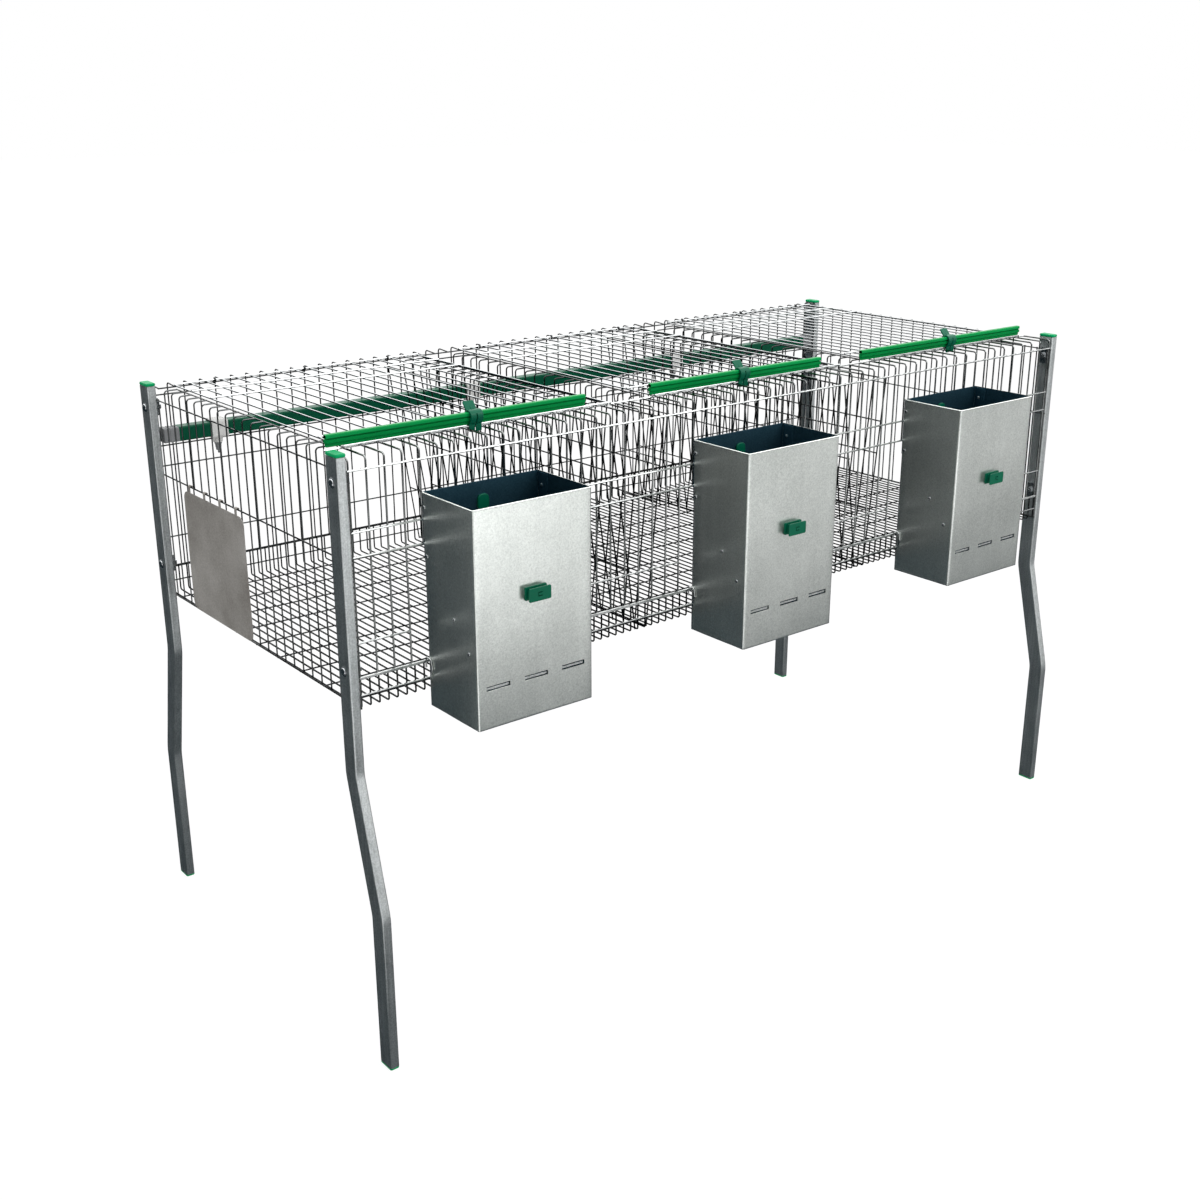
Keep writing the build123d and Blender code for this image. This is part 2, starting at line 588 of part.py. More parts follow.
def card_clip(x):
    """Card holder: a plate on the front sheet, a narrow core and a slotted plate in front of it."""
    z = FEEDER_Z + CLIP_Z
    plate = RectangleRounded(CLIP_WIDE, CLIP_TALL, CLIP_PLATE)
    cut = Rectangle(CLIP_SLOT_WIDE, CLIP_SLOT_TALL)
    spots = [Pos(side * CLIP_SLOT_SPACING / 2, 0) * cut for side in (-1, 1)]
    rear = extrude(wall_plane(FEEDER_FRONT_Y).location * (Pos(x, z) * plate), amount=CLIP_PLATE)
    start = FEEDER_FRONT_Y - CLIP_PLATE - CLIP_GAP
    core = Pos(x, start + CLIP_GAP / 2, z) * Box(CLIP_CORE, CLIP_GAP, CLIP_CORE)
    front = extrude(wall_plane(start).location * (Pos(x, z) * (plate - spots)), amount=CLIP_PLATE)
    return rear + core + front


def corner_hooks(x):
    """Two wire hooks over the trough's back lip and the wall's sill wire."""
    over = SILL_Z + HALF + HOOK_CLEAR
    lip = FEEDER_BACK_Y - SHEET
    behind = FRONT_Y + HALF + HOOK_CLEAR
    low = over - CORNER_HOOK_LEG
    top = over + WIRE
    outside = [(lip - WIRE, low), (lip - WIRE, top), (behind + WIRE, top), (behind + WIRE, low)]
    inside = [(behind, low), (behind, over), (lip, over), (lip, low)]
    outline = Polygon(*outside, *inside, align=None)
    return [across_x(outline, x + side * CORNER_HOOK_X, WIRE) for side in (-1, 1)]


def water_pipe():
    """Square pipe along the rear wall, carried by the sides of the hay racks."""
    long = 2 * (END_X - HALF - PIPE_END_GAP)
    bore = PIPE - 2 * PIPE_WALL
    profile = RectangleRounded(PIPE, PIPE, PIPE_CORNER) - Rectangle(bore, bore)
    return across_x(Pos(PIPE_Y, PIPE_Z) * profile, 0, long)


def pipe_fitting(side):
    """End fitting: a body against the pipe's end and an insert in its bore."""
    end = END_X - HALF - PIPE_END_GAP
    bore = PIPE - 2 * (PIPE_WALL + PLUG_FIT)
    body = extrude(RectangleRounded(PIPE, PIPE, PIPE_CORNER), PLUG_BODY)
    body = fillet(body.faces().sort_by(Axis.Z)[-1].edges(), PIPE_CORNER / 2)
    insert = extrude(Rectangle(bore, bore), -PLUG_INSERT)
    return Pos(side * end, PIPE_Y, PIPE_Z) * Rot(0, side * 90, 0) * (body + insert)


def saddle(x):
    """Clamp round the pipe, open at the rear, with a boss for the nipple below."""
    bore = PIPE / 2 + SADDLE_FIT
    outer = bore + SADDLE_WALL
    clamp = RectangleRounded(2 * outer, 2 * outer, SADDLE_WALL) - Rectangle(2 * bore, 2 * bore)
    clamp = clamp - Pos(outer, 0) * Rectangle(2 * SADDLE_WALL + 2 * SADDLE_FIT, 4 * outer)
    body = across_x(Pos(PIPE_Y, PIPE_Z) * clamp, x, SADDLE_WIDE)
    boss = Cylinder(BOSS_RADIUS, BOSS_LONG, align=(Align.CENTER, Align.CENTER, Align.MAX))
    boss = boss - Pos(0, 0, -BOSS_LONG) * Cylinder(NIPPLE_RADIUS + SADDLE_FIT, 2 * NIPPLE_SET)
    return body + Pos(x, PIPE_Y, PIPE_Z - outer) * boss


def boss_foot():
    return PIPE_Z - PIPE / 2 - SADDLE_FIT - SADDLE_WALL - BOSS_LONG


def nipple(x):
    """Drinker body set in the boss, with a stepped bore that holds the pin's collar."""
    top = boss_foot() + NIPPLE_SET
    body = Cylinder(NIPPLE_RADIUS, NIPPLE_LONG, align=(Align.CENTER, Align.CENTER, Align.MAX))
    body = chamfer(body.faces().sort_by(Axis.Z)[0].edges(), NIPPLE_RADIUS / 4)
    throat = Cylinder(PIN_RADIUS + PIN_FIT, 3 * NIPPLE_LONG)
    well = Cylinder(PIN_COLLAR + PIN_FIT, NIPPLE_LONG, align=(Align.CENTER, Align.CENTER, Align.MIN))
    return Pos(x, PIPE_Y, top) * (body - throat - Pos(0, 0, -pin_seat()) * well)


def pin_seat():
    """Depth of the ledge under the pin's collar, from the top of the nipple."""
    return NIPPLE_LONG - (PIN_LONG - PIN_OUT - PIN_COLLAR)


def drinker_pin(x):
    """Steel pin that hangs by its collar in the nipple and is pushed up to drink."""
    top = boss_foot() + NIPPLE_SET
    collar = Cylinder(PIN_COLLAR, PIN_COLLAR, align=(Align.CENTER, Align.CENTER, Align.MIN))
    stem = Cylinder(PIN_RADIUS, PIN_LONG - PIN_COLLAR, align=(Align.CENTER, Align.CENTER, Align.MAX))
    stem = fillet(stem.faces().sort_by(Axis.Z)[0].edges(), PIN_RADIUS / 2)
    return Pos(x, PIPE_Y, top - pin_seat()) * (collar + stem)


def side_plate():
    """Sheet over the nest opening, hung by bent tongues on the end wall's middle wire."""
    inner = RING_BORE
    tongue = Circle(inner + SHEET) - Circle(inner)
    drop = PLATE_DROP + SHEET
    strap = Pos(-inner - SHEET / 2, -drop / 2) * Rectangle(SHEET, drop)
    hook = wall_plane(0).location * (tongue + strap)
    face = -END_X - inner
    top = END_ROW_Z - PLATE_DROP
    sheet = RectangleRounded(PLATE_WIDE, PLATE_TALL, PLATE_ROUND)
    plate = extrude(end_plane(face).location * (Pos(PLATE_Y, top - PLATE_TALL / 2) * sheet), amount=-SHEET)
    for step in range(PLATE_HOOKS):
        wanted = PLATE_Y + PLATE_WIDE * ((step + 0.5) / PLATE_HOOKS - 0.5)
        y = gap_middle(END_UPRIGHTS, wanted)
        plate = plate + Pos(-END_X, y, END_ROW_Z) * extrude(hook, amount=PLATE_HOOK_WIDE / 2, both=True)
    return plate


def assemble():
    """Every node by name, as one solid or a list of solids."""
    nodes = {}
    corners = [(side, end) for side in (-1, 1) for end in (-1, 1)]
    for side, end in corners:
        name = f"leg_{'front' if end < 0 else 'rear'}_{'left' if side < 0 else 'right'}"
        nodes[name] = leg(side, end)
    cap = tube_plug(CAP_LIP, CAP_PROUD, CAP_ROUND)
    foot = Rot(180, 0, 0) * tube_plug(PLUG_LIP, 0, PLUG_LIP / 4)
    bolts = [(side, end, z) for side, end in corners for z in BOLT_ROWS_Z]
    nodes["leg_top_caps"] = [Pos(side * LEG_X, leg_y(end), TUBE_TOP_Z) * cap for side, end in corners]
    feet = [Pos(side * LEG_X, leg_y(end) + end * SPLAY, PLUG_LIP) for side, end in corners]
    nodes["leg_foot_plugs"] = [place * foot for place in feet]
    nodes["leg_bolts"] = [leg_bolt(*spot) for spot in bolts]
    nodes["leg_nuts"] = [leg_nut(*spot) for spot in bolts]
    nodes["leg_clamp_plates"] = [clamp_plate(*spot) for spot in bolts]

    nodes["floor_mesh"] = floor_net()
    nodes["floor_front_lip"] = floor_lip(FRONT_Y)
    nodes["floor_rear_lip"] = floor_lip(REAR_Y)
    nodes["front_wall_mesh"] = front_wall()
    nodes["front_roof_strip"] = roof_strip(UPRIGHTS, FRONT_STRIP, WALL_TOP_Z + HALF, Pos(0, FRONT_Y, 0))
    nodes["rear_wall_mesh"] = rear_wall()
    turned = Pos(0, REAR_Y, 0) * Rot(0, 0, 180)
    nodes["rear_roof_strip"] = roof_strip(UPRIGHTS, REAR_STRIP, WALL_TOP_Z + HALF, turned, REAR_RISE)
    nodes["left_end_mesh"] = end_wall(-1)
    nodes["right_end_mesh"] = end_wall(1)
    nodes["left_partition_mesh"] = hay_rack(RACK_X[0])
    nodes["right_partition_mesh"] = hay_rack(RACK_X[1])
    strips = [side_strip(-END_X, 1), side_strip(END_X, -1)]
    for x in RACK_X:
        strips += [side_strip(x - RACK_LEFT_TOP, 1, RACK_STRIP), side_strip(x + RACK_RIGHT_TOP, 1)]
    nodes["side_roof_strips"] = strips
    nodes["lid_hinge_rings"] = [ring for index in range(len(BAYS)) for ring in lid_rings(index)]

    for index, bay in enumerate(BAYS):
        x = FEEDER_X[index]
        nodes[f"{bay}_lid_mesh"] = lid_bars(index)
        nodes[f"{bay}_lid_handle"] = lid_handle(index)
        nodes[f"{bay}_lid_latch"] = lid_latch(index)
        nodes[f"{bay}_feeder_shell"] = feeder_shell(x)
        nodes[f"{bay}_feeder_back"] = feeder_back(x)
        nodes[f"{bay}_feeder_baffle"] = feeder_baffle(x)
        nodes[f"{bay}_feeder_rivets"] = feeder_rivets(x)
        nodes[f"{bay}_feeder_hook"] = feeder_hook(x)
        nodes[f"{bay}_card_clip"] = card_clip(x)
        nodes[f"{bay}_corner_hooks"] = corner_hooks(x)
        nodes[f"{bay}_drinker_pin"] = drinker_pin(BAY_X[index] + SADDLE_SHIFT)

    drinkers = [x + SADDLE_SHIFT for x in BAY_X]
    nodes["water_pipe"] = water_pipe()
    nodes["pipe_end_fittings"] = [pipe_fitting(side) for side in (-1, 1)]
    nodes["drinker_saddles"] = [saddle(x) for x in drinkers]
    nodes["drinker_nipples"] = [nipple(x) for x in drinkers]
    nodes["side_plate"] = side_plate()
    return nodes


def write(nodes):
    """One file per node, with a group of solids written as one compound."""
    os.makedirs("parts", exist_ok=True)
    for name, shape in nodes.items():
        group = shape if isinstance(shape, list) else [shape]
        solids = [solid for member in group for solid in member.solids()]
        body = solids[0] if len(solids) == 1 else Compound(children=solids)
        body.label = name
        export_step(body, f"parts/{name}.step")


write(assemble())
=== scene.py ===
"""Three-bay rabbit cage: round welded wires, tube legs, folded hoppers, moulded clips and handles."""
import math

import bpy
import numpy as np
from mathutils import Matrix


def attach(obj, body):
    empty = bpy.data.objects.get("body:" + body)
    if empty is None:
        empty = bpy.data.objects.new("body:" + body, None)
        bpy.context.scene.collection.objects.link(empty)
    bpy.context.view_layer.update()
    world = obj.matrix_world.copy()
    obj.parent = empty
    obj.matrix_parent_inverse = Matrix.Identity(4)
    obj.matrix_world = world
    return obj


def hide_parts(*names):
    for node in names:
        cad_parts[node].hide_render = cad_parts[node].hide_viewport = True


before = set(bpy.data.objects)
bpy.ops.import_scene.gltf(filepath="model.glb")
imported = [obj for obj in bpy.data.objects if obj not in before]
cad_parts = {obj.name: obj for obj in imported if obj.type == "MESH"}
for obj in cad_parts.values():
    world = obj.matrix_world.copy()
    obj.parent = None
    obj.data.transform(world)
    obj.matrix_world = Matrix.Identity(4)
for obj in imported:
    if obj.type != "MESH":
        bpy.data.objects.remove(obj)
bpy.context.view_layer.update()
rng = np.random.default_rng(41)

# Places and sizes in millimetres, in the part's frame: X along the bays, Y from front to rear, Z up.
X, Y, Z = (1, 0, 0), (0, 1, 0), (0, 0, 1)
BAYS = ("left", "middle", "right")
RACKS = (-252.0, 252.0)
RACK_SIDES = ((-13.0, -62.0, 40.0), (8.0, 40.0, 22.0))  # foot, top and roof strip from the rack's middle
END_X = 756.0
FRONT_Y, REAR_Y = -278.7, 361.3
FLOOR_Z, ROOF_Z, REAR_PEAK = 554.0, 903.0, 905.5
FRONT_STRIP, REAR_STRIP, SIDE_STRIP = 60.0, 32.0, 22.0
STRIP_Z = ROOF_Z + 0.4  # height of the roof strips' end wires
CLEAR = 10.0  # distance of bent uprights from the front and rear strips

# Wires
WIRE = 1.2  # radius where no other is named
FLOOR_WIRE, LID_WIRE, LIP_WIRE = 1.32, 1.35, 1.4
FRONT_WIRE, ROW_WIRE = 1.45, 1.55  # of the front's uprights and long wires
HOOK_WIRE, OUTER_HOOK_WIRE = 1.1, 1.3
BAR = 1.5  # half the thickness of the solids' wire bars
SINK = 0.9  # half the distance between two wires that are welded across each other
PAST = 2.0  # how far a wire runs past the last one that it crosses
BOW, LONG_BOW = 0.45, 0.5  # spread of the slow bows of uprights and of long wires
BEND, LIP_BEND = 5.0, 3.5
UPRIGHTS = np.linspace(-753.8, 753.8, 56)
PITCH = UPRIGHTS[1] - UPRIGHTS[0]
END_UPRIGHTS = np.linspace(FRONT_Y, REAR_Y, 24)
RACK_UPRIGHTS = np.linspace(FRONT_Y + 2.2, REAR_Y - 2.2, 24)
UNDER_PIPE = 22  # number of the rack upright that ends under the water pipe
FLOOR_WIRES = np.linspace(-753.8, 753.8, 105)
FRONT_ROWS = (598.0, 648.0, 769.0, 803.0, 887.0)
END_ROWS = (554.0, 761.0, 884.0)
RACK_ROWS = (556.4, 655.0, 755.0, 810.7, 883.9)
LIP_ROWS = (571.6, 595.8)

# Lids, handles and latches
LID_WIRES = ((-728.5, -274.0, 18), (-184.5, 230.0, 16), (319.5, 728.5, 16))  # first, last and count
LID_FRONT_Y, HINGE_Y = -224.7, 325.3
LID_ROWS = (LID_FRONT_Y, -155.7, 187.3, 256.3, HINGE_Y)
LID_Z, LID_TOP_Z = 905.75, 907.65  # both layers of a lid's wires
HANDLE_X, HANDLE_LONG, HANDLE_Z = (-540.0, -8.0, 504.0), (433.0, 377.0, 443.0), 920.0
LATCH_X = (-520.8073, 0.0, 520.8073)

# Feeders
FEEDER_X = (-548.2182, -54.8218, 438.5745)
MOUTH_LEFT, MOUTH_GAPS = 122.0, 8
FEEDER_HALF, FEEDER_BACK, FEEDER_FRONT = 98.0, -280.3, -403.3
FEEDER_MIDDLE, FEEDER_DEEP = (FEEDER_BACK + FEEDER_FRONT) / 2, FEEDER_BACK - FEEDER_FRONT
FEEDER_LOW, FEEDER_TOP = 530.0, 842.0
SHEET = 1.0
SLOT_X, SLOT_HALF = np.array([-64.0, 0.0, 64.0]), 19.75

# Legs, water line and nest plate
LEG_X, LEG_Y, LEG_OUT = 764.6, (-266.7, 349.3), 51.0  # tube axes, and how far the feet stand out
LEG_Z = (907.0, 453.0, 248.0, 3.0)  # top, both bends and foot
LEG_SECTION, CAP_STEM = (15.0, 30.0), (11.6, 26.6, 22.0)
BOLT_Z = (608.0, 872.0)
PIPE_Y, PIPE_Z, PIPE_END = 346.0, 824.0, 724.9
DRINKER_X = (-655.0, -151.0, 353.0)
NEST_Y, NEST_Z, NEST_GAPS = 151.3, 653.0, 7


# Surfaces

def outward(points, faces):
    """Faces turned to point out of the closed form, which holds a positive volume when they do."""
    volume = 0.0
    for face in faces:
        corner = points[face]
        ahead = np.cross(corner[:, 1:-1], corner[:, 2:])
        volume += np.sum(corner[:, None, 0] * ahead)
    return points, [face if volume > 0 else face[:, ::-1] for face in faces]


def loft(rings):
    """Skin over closed rings: point j of a ring joins points j and j+1 of the next, and flat discs close the
    ends. Several stacks of rings may come at once, as (stack, ring, point, xyz)."""
    rings = np.asarray(rings, float)
    rings = rings[None] if rings.ndim == 3 else rings
    index = np.arange(rings[..., 0].size).reshape(rings.shape[:3])
    ahead = np.roll(index, -1, axis=2)
    quads = np.stack([index[:, :-1], ahead[:, :-1], ahead[:, 1:], index[:, 1:]], -1).reshape(-1, 4)
    return outward(rings.reshape(-1, 3), [quads, index[:, 0, ::-1], index[:, -1]])


def unit(vectors):
    """Vectors divided by their length."""
    return vectors / np.linalg.norm(vectors, axis=-1, keepdims=True)


def carry(profile, path, side, scale=None):
    """Closed profile (across, lift) carried along one or more paths: across runs along the side vector, lift
    is square to it and to the path, and scale shrinks the profile from step to step."""
    path = np.asarray(path, float)
    along = unit(np.gradient(path, axis=-2))
    lift = unit(np.cross(along, np.asarray(side, float)))
    across = np.cross(lift, along)
    grow = np.ones(path.shape[-2]) if scale is None else np.asarray(scale, float)
    spread = np.asarray(profile, float)[None] * grow[:, None, None]
    rings = path[..., None, :] + spread[..., :1] * across[..., None, :] + spread[..., 1:] * lift[..., None, :]
    return loft(rings)


def circle(radius, sides):
    """Points of a circle about the origin, first at angle 0."""
    turn = np.linspace(0, 2 * np.pi, sides, endpoint=False)
    return np.stack([radius * np.cos(turn), radius * np.sin(turn)], 1)


def at_x(x, line):
    """Line of (y, z) points set at one x."""
    return np.column_stack([np.full(len(line), x), line])


def along_x(places, y, z):
    """Points at the places along X, all at one y and z."""
    return np.column_stack([places, np.full(len(places), y), np.full(len(places), z)])


def wires(paths, side, radius=WIRE, sides=8):
    """Round wires: a circle carried along each path."""
    return carry(circle(radius, sides), paths, side)


def rounded(wide, tall, radius, steps=5):
    """Outline of a rectangle with round corners: quarter circles about four corner centres, each with a short
    straight before and after it, so that the flats are shaded flat."""
    turn = np.linspace(0, np.pi / 2, steps + 1)
    turn = np.concatenate([turn[:1], turn, turn[-1:]])
    room = min(radius, wide / 2 - radius, tall / 2 - radius)
    slip = np.concatenate([[-0.2], np.zeros(steps + 1), [0.2]]) * room
    turn = np.concatenate([turn + quarter * np.pi / 2 for quarter in range(4)])
    slip = np.tile(slip, 4)[:, None]
    sign = np.repeat([[1, 1], [-1, 1], [-1, -1], [1, -1]], steps + 3, axis=0)
    centre = sign * [wide / 2 - radius, tall / 2 - radius]
    spin = np.stack([np.cos(turn), np.sin(turn)], 1)
    return centre + radius * spin + slip * np.stack([-spin[:, 1], spin[:, 0]], 1)


def arc(centre, radius, start, stop, steps):
    """Points on a circle in a plane, from one angle to another in degrees."""
    turn = np.radians(np.linspace(start, stop, steps))
    return np.asarray(centre) + radius * np.stack([np.cos(turn), np.sin(turn)], 1)


def bent(corners, radius, steps=6):
    """Polyline in a plane whose corners are arcs, each of which starts radius * tan(half turn) before its
    corner."""
    corners = np.asarray(corners, float)
    run = [corners[:1]]
    for before, corner, after in zip(corners, corners[1:], corners[2:]):
        into, out = unit(corner - before), unit(after - corner)
        half = np.arccos(np.clip(into @ out, -1, 1)) / 2
        middle = corner + unit(out - into) * radius / np.cos(half)
        share = np.linspace(-1, 1, steps)[:, None] * half
        run.append(middle + radius * (np.cos(share) * unit(into - out) + np.sin(share) * unit(into + out)))
    run.append(corners[-1:])
    return np.concatenate(run)


def lathe(profile, centre, axis, sides=24):
    """Profile (radius, height) turned about an axis through the centre."""
    profile = np.asarray(profile, float)
    axis = unit(np.asarray(axis, float))
    first = unit(np.cross(axis, [0.31, 0.52, 0.79]))
    second = np.cross(axis, first)
    spin = circle(1.0, sides)
    round_dir = spin[:, :1] * first + spin[:, 1:] * second
    rings = profile[:, :1, None] * round_dir[None] + profile[:, 1:, None] * axis
    return loft(rings + np.asarray(centre, float))


def block(centre, size, corner, edge, axis=2):
    """Moulded block: a rounded rectangle square to one axis, drawn in along a quarter circle at both ends."""
    flat = [(axis + 1) % 3, (axis + 2) % 3]
    turn = np.linspace(0, np.pi / 2, 4)
    draw = np.concatenate([edge * (1 - np.sin(turn)), edge * (1 - np.cos(turn))])
    level = np.concatenate([edge * (1 - np.cos(turn)), size[axis] - edge * (1 - np.sin(turn))])
    level = level - size[axis] / 2
    rings = []
    for shrink, height in zip(draw, level):
        outline = rounded(size[flat[0]] - 2 * shrink, size[flat[1]] - 2 * shrink, max(corner - shrink, 0.05))
        ring = np.empty((len(outline), 3))
        ring[:, flat] = outline
        ring[:, axis] = height
        rings.append(ring)
    return loft(np.array(rings) + np.asarray(centre, float))


def pierced(u, v, solid, place, ring=False):
    """Sheet with holes: solid cells of a u by v grid get a front and a back, and a wall joins the two where a
    solid cell meets a hole or the rim. place(u, v, depth) gives a front point at depth 0 and a back point at
    depth 1. On a ring the last u line is the first one again."""
    grid = np.meshgrid(u, v, indexing="ij")
    points = np.concatenate([place(*grid, 0.0).reshape(-1, 3), place(*grid, 1.0).reshape(-1, 3)])
    top = np.arange(grid[0].size).reshape(grid[0].shape)
    if ring:
        top[-1] = top[0]
    under = top + grid[0].size
    i, j = np.nonzero(solid)
    faces = [np.stack([top[i, j], top[i + 1, j], top[i + 1, j + 1], top[i, j + 1]], 1),
             np.stack([under[i, j], under[i, j + 1], under[i + 1, j + 1], under[i + 1, j]], 1)]
    pad = np.pad(solid, ((0, 0), (1, 1)))
    pad = np.pad(pad, ((1, 1), (0, 0)), mode="wrap" if ring else "constant")
    last = -1 if ring else None
    walls = []
    for low, high, (di, dj), (ei, ej) in ((pad[:-1, 1:-1][:last], pad[1:, 1:-1][:last], (0, 0), (0, 1)),
                                          (pad[1:-1, :-1], pad[1:-1, 1:], (1, 0), (0, 0))):
        for here, there, turn in ((high, low, 1), (low, high, -1)):
            i, j = np.nonzero(here & ~there)
            a, b = (i + di, j + dj), (i + ei, j + ej)
            walls.append(np.stack([top[a], top[b], under[b], under[a]], 1)[:, ::turn])
    return outward(points, faces + [np.concatenate(walls)])


def round_off(u, v, half_u, half_v, radius):
    """Grid points of a rectangle with its corner squares drawn into quarter circles."""
    a = np.clip(np.abs(u) - (half_u - radius), 0, None)
    b = np.clip(np.abs(v) - (half_v - radius), 0, None)
    shrink = np.where((a > 0) & (b > 0), np.maximum(a, b) / np.maximum(np.hypot(a, b), 1e-9), 1.0)
    in_u = np.abs(u) - a + a * shrink
    in_v = np.abs(v) - b + b * shrink
    return np.sign(u) * in_u, np.sign(v) * in_v


class Form:
    """Surfaces gathered for one piece, each with the number of its finish."""

    def __init__(self):
        self.points, self.faces, self.finish = [], [], []
        self.count = 0

    def add(self, surface, finish=0):
        points, faces = surface
        numbers = finish if isinstance(finish, (list, tuple)) else [finish] * len(faces)
        for face, number in zip(faces, numbers):
            self.faces.append(face + self.count)
            self.finish.append(np.full(len(face), number))
        self.points.append(points)
        self.count += len(points)
        return self

    def piece(self, name, body, slot, finishes, *nodes, crease=38.0):
        """One object at the origin, in metres, riding on its body and standing for its nodes."""
        points = np.concatenate(self.points)
        loops = np.concatenate([face.ravel() for face in self.faces])
        sizes = np.concatenate([np.full(len(face), face.shape[1]) for face in self.faces])
        used, loops = np.unique(loops, return_inverse=True)
        mesh = bpy.data.meshes.new(name)
        mesh.vertices.add(len(used))
        mesh.vertices.foreach_set("co", (points[used] * 0.001).astype(np.float32).ravel())
        mesh.loops.add(len(loops))
        mesh.loops.foreach_set("vertex_index", loops.astype(np.int32))
        mesh.polygons.add(len(sizes))
        mesh.polygons.foreach_set("loop_start", (np.cumsum(sizes) - sizes).astype(np.int32))
        mesh.polygons.foreach_set("material_index", np.concatenate(self.finish).astype(np.int32))
        mesh.polygons.foreach_set("use_smooth", np.ones(len(sizes), bool))
        mesh.update(calc_edges=True)
        mesh.validate()
        mesh.set_sharp_from_angle(angle=math.radians(crease))
        for finish in finishes:
            mesh.materials.append(finish)
        made = bpy.data.objects.new(name, mesh)
        bpy.context.scene.collection.objects.link(made)
        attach(made, body)
        if nodes:
            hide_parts(*nodes)


# Finishes

def linear(*screen):
    """Linear colour of a screen colour from 0 to 255: a power of 2.4 above its short straight start."""
    share = np.array(screen) / 255
    share = np.where(share <= 0.04045, share / 12.92, ((share + 0.055) / 1.055) ** 2.4)
    return (*share.tolist(), 1.0)


class Flow:
    """A value that flows between shader nodes. Arithmetic on it adds Math nodes."""

    def __init__(self, tree, socket):
        self.tree, self.socket = tree, socket

    def node(self, kind, settings, values, out=0):
        """Adds a node of any kind: its settings first, then values or links for its sockets."""
        made = self.tree.nodes.new(kind)
        for key, value in settings.items():
            setattr(made, key, value)
        for key, value in values.items():
            if isinstance(value, Flow):
                self.tree.links.new(value.socket, made.inputs[key])
            else:
                made.inputs[key].default_value = value
        return Flow(self.tree, made.outputs[out])

    def maths(self, operation, first, second):
        return self.node("ShaderNodeMath", {"operation": operation}, {0: first, 1: second})

    def __add__(self, other):
        return self.maths("ADD", self, other)

    __radd__ = __add__

    def __sub__(self, other):
        return self.maths("SUBTRACT", self, other)

    def __mul__(self, other):
        return self.maths("MULTIPLY", self, other)

    def clamp(self, low, high):
        return self.node("ShaderNodeClamp", {}, {0: self, 1: low, 2: high})


def start(name):
    """A new material, the value that begins its expressions, and its shader."""
    material = bpy.data.materials.new(name)
    material.use_nodes = True
    tree = material.node_tree
    shader = next(node for node in tree.nodes if node.type == "BSDF_PRINCIPLED")
    place = Flow(tree, None).node("ShaderNodeTexCoord", {}, {}, "Object")
    return material, place, shader


def feed(shader, place, **links):
    """Links or sets a shader's sockets by name, with spaces written as underscores."""
    for name, value in links.items():
        socket = shader.inputs[name.replace("_", " ")]
        if isinstance(value, Flow):
            place.tree.links.new(value.socket, socket)
        else:
            socket.default_value = value


def noise(place, scale, detail=3.0, stretch=None):
    """Soft noise from 0 to 1, with its features 1/scale metres wide, or stretched along an axis."""
    where = place
    if stretch:
        where = place.node("ShaderNodeMapping", {}, {"Vector": place, "Scale": stretch})
    values = {"Vector": where, "Scale": scale, "Detail": detail, "Roughness": 0.55}
    return place.node("ShaderNodeTexNoise", {}, values)


def blend(place, share, low, high):
    """Colour between two colours."""
    return place.node("ShaderNodeMix", {"data_type": "RGBA"}, {"Factor": share, 6: low, 7: high}, 2)


def bump(place, height, distance, strength):
    """Normal tilted by the slope of a height."""
    values = {"Height": height, "Distance": distance, "Strength": strength}
    return place.node("ShaderNodeBump", {}, values)


def zinc_wire(name, dark, light):
    """Drawn and zinc-dipped wire: patches between two greys, dull and bright, with a fine crust."""
    material, place, shader = start(name)
    patch = noise(place, 45.0, 4.0)
    crust = noise(place, 900.0, 2.0)
    tone = (patch * 1.5 - 0.4 + crust * 0.3).clamp(0.0, 1.0)
    feed(shader, place, Base_Color=blend(place, tone, linear(*dark), linear(*light)), Metallic=0.97,
         Roughness=0.08 + patch * 0.14, Normal=bump(place, crust, 0.0003, 0.1))
    return material


def spangle_sheet(name, dark, light, dull, metal=0.92, cloudy=0.4):
    """Hot-dipped sheet: fine crystals, each with its own brightness and gloss, in slow clouds and streaks."""
    material, place, shader = start(name)
    crystal = place.node("ShaderNodeTexVoronoi", {}, {"Vector": place, "Scale": 330.0}, "Color")
    shade = place.node("ShaderNodeSeparateColor", {}, {"Color": crystal}, 0)
    cloud = noise(place, 9.0, 2.0)
    grain = noise(place, 420.0, 3.0)
    streak = noise(place, 45.0, 3.0, (1.0, 1.0, 0.05))
    tone = (shade * 0.2 + cloud * cloudy * 2 + grain * 1.3 + streak * 0.4 - 0.45 - cloudy).clamp(0.0, 1.0)
    feed(shader, place, Base_Color=blend(place, tone, linear(*dark), linear(*light)), Metallic=metal,
         Roughness=dull + shade * 0.02)
    return material


def drawn_tube():
    """Zinc-plated tube, a little dull: streaks along its length, slow clouds and fine grain between greys."""
    material, place, shader = start("drawn_tube")
    streak = noise(place, 380.0, 3.0, (1.0, 1.0, 0.02))
    cloud = noise(place, 22.0, 4.0)
    grain = noise(place, 420.0, 3.0)
    tone = (streak * 0.7 + cloud * 0.4 + grain - 0.55).clamp(0.0, 1.0)
    feed(shader, place, Base_Color=blend(place, tone, linear(140, 145, 146), linear(232, 236, 236)),
         Metallic=0.9, Roughness=0.3 + streak * 0.16 + cloud * 0.1,
         Normal=bump(place, streak + grain, 0.0005, 0.15))
    return material


def bright_zinc():
    """Plated fasteners: bright grey with fine scratches."""
    material, place, shader = start("bright_zinc")
    scratch = noise(place, 800.0, 3.0, (1.0, 0.15, 1.0))
    feed(shader, place, Base_Color=blend(place, scratch, linear(150, 154, 156), linear(205, 208, 210)),
         Metallic=0.95, Roughness=0.08 + scratch * 0.14, Normal=bump(place, scratch, 0.0002, 0.1))
    return material


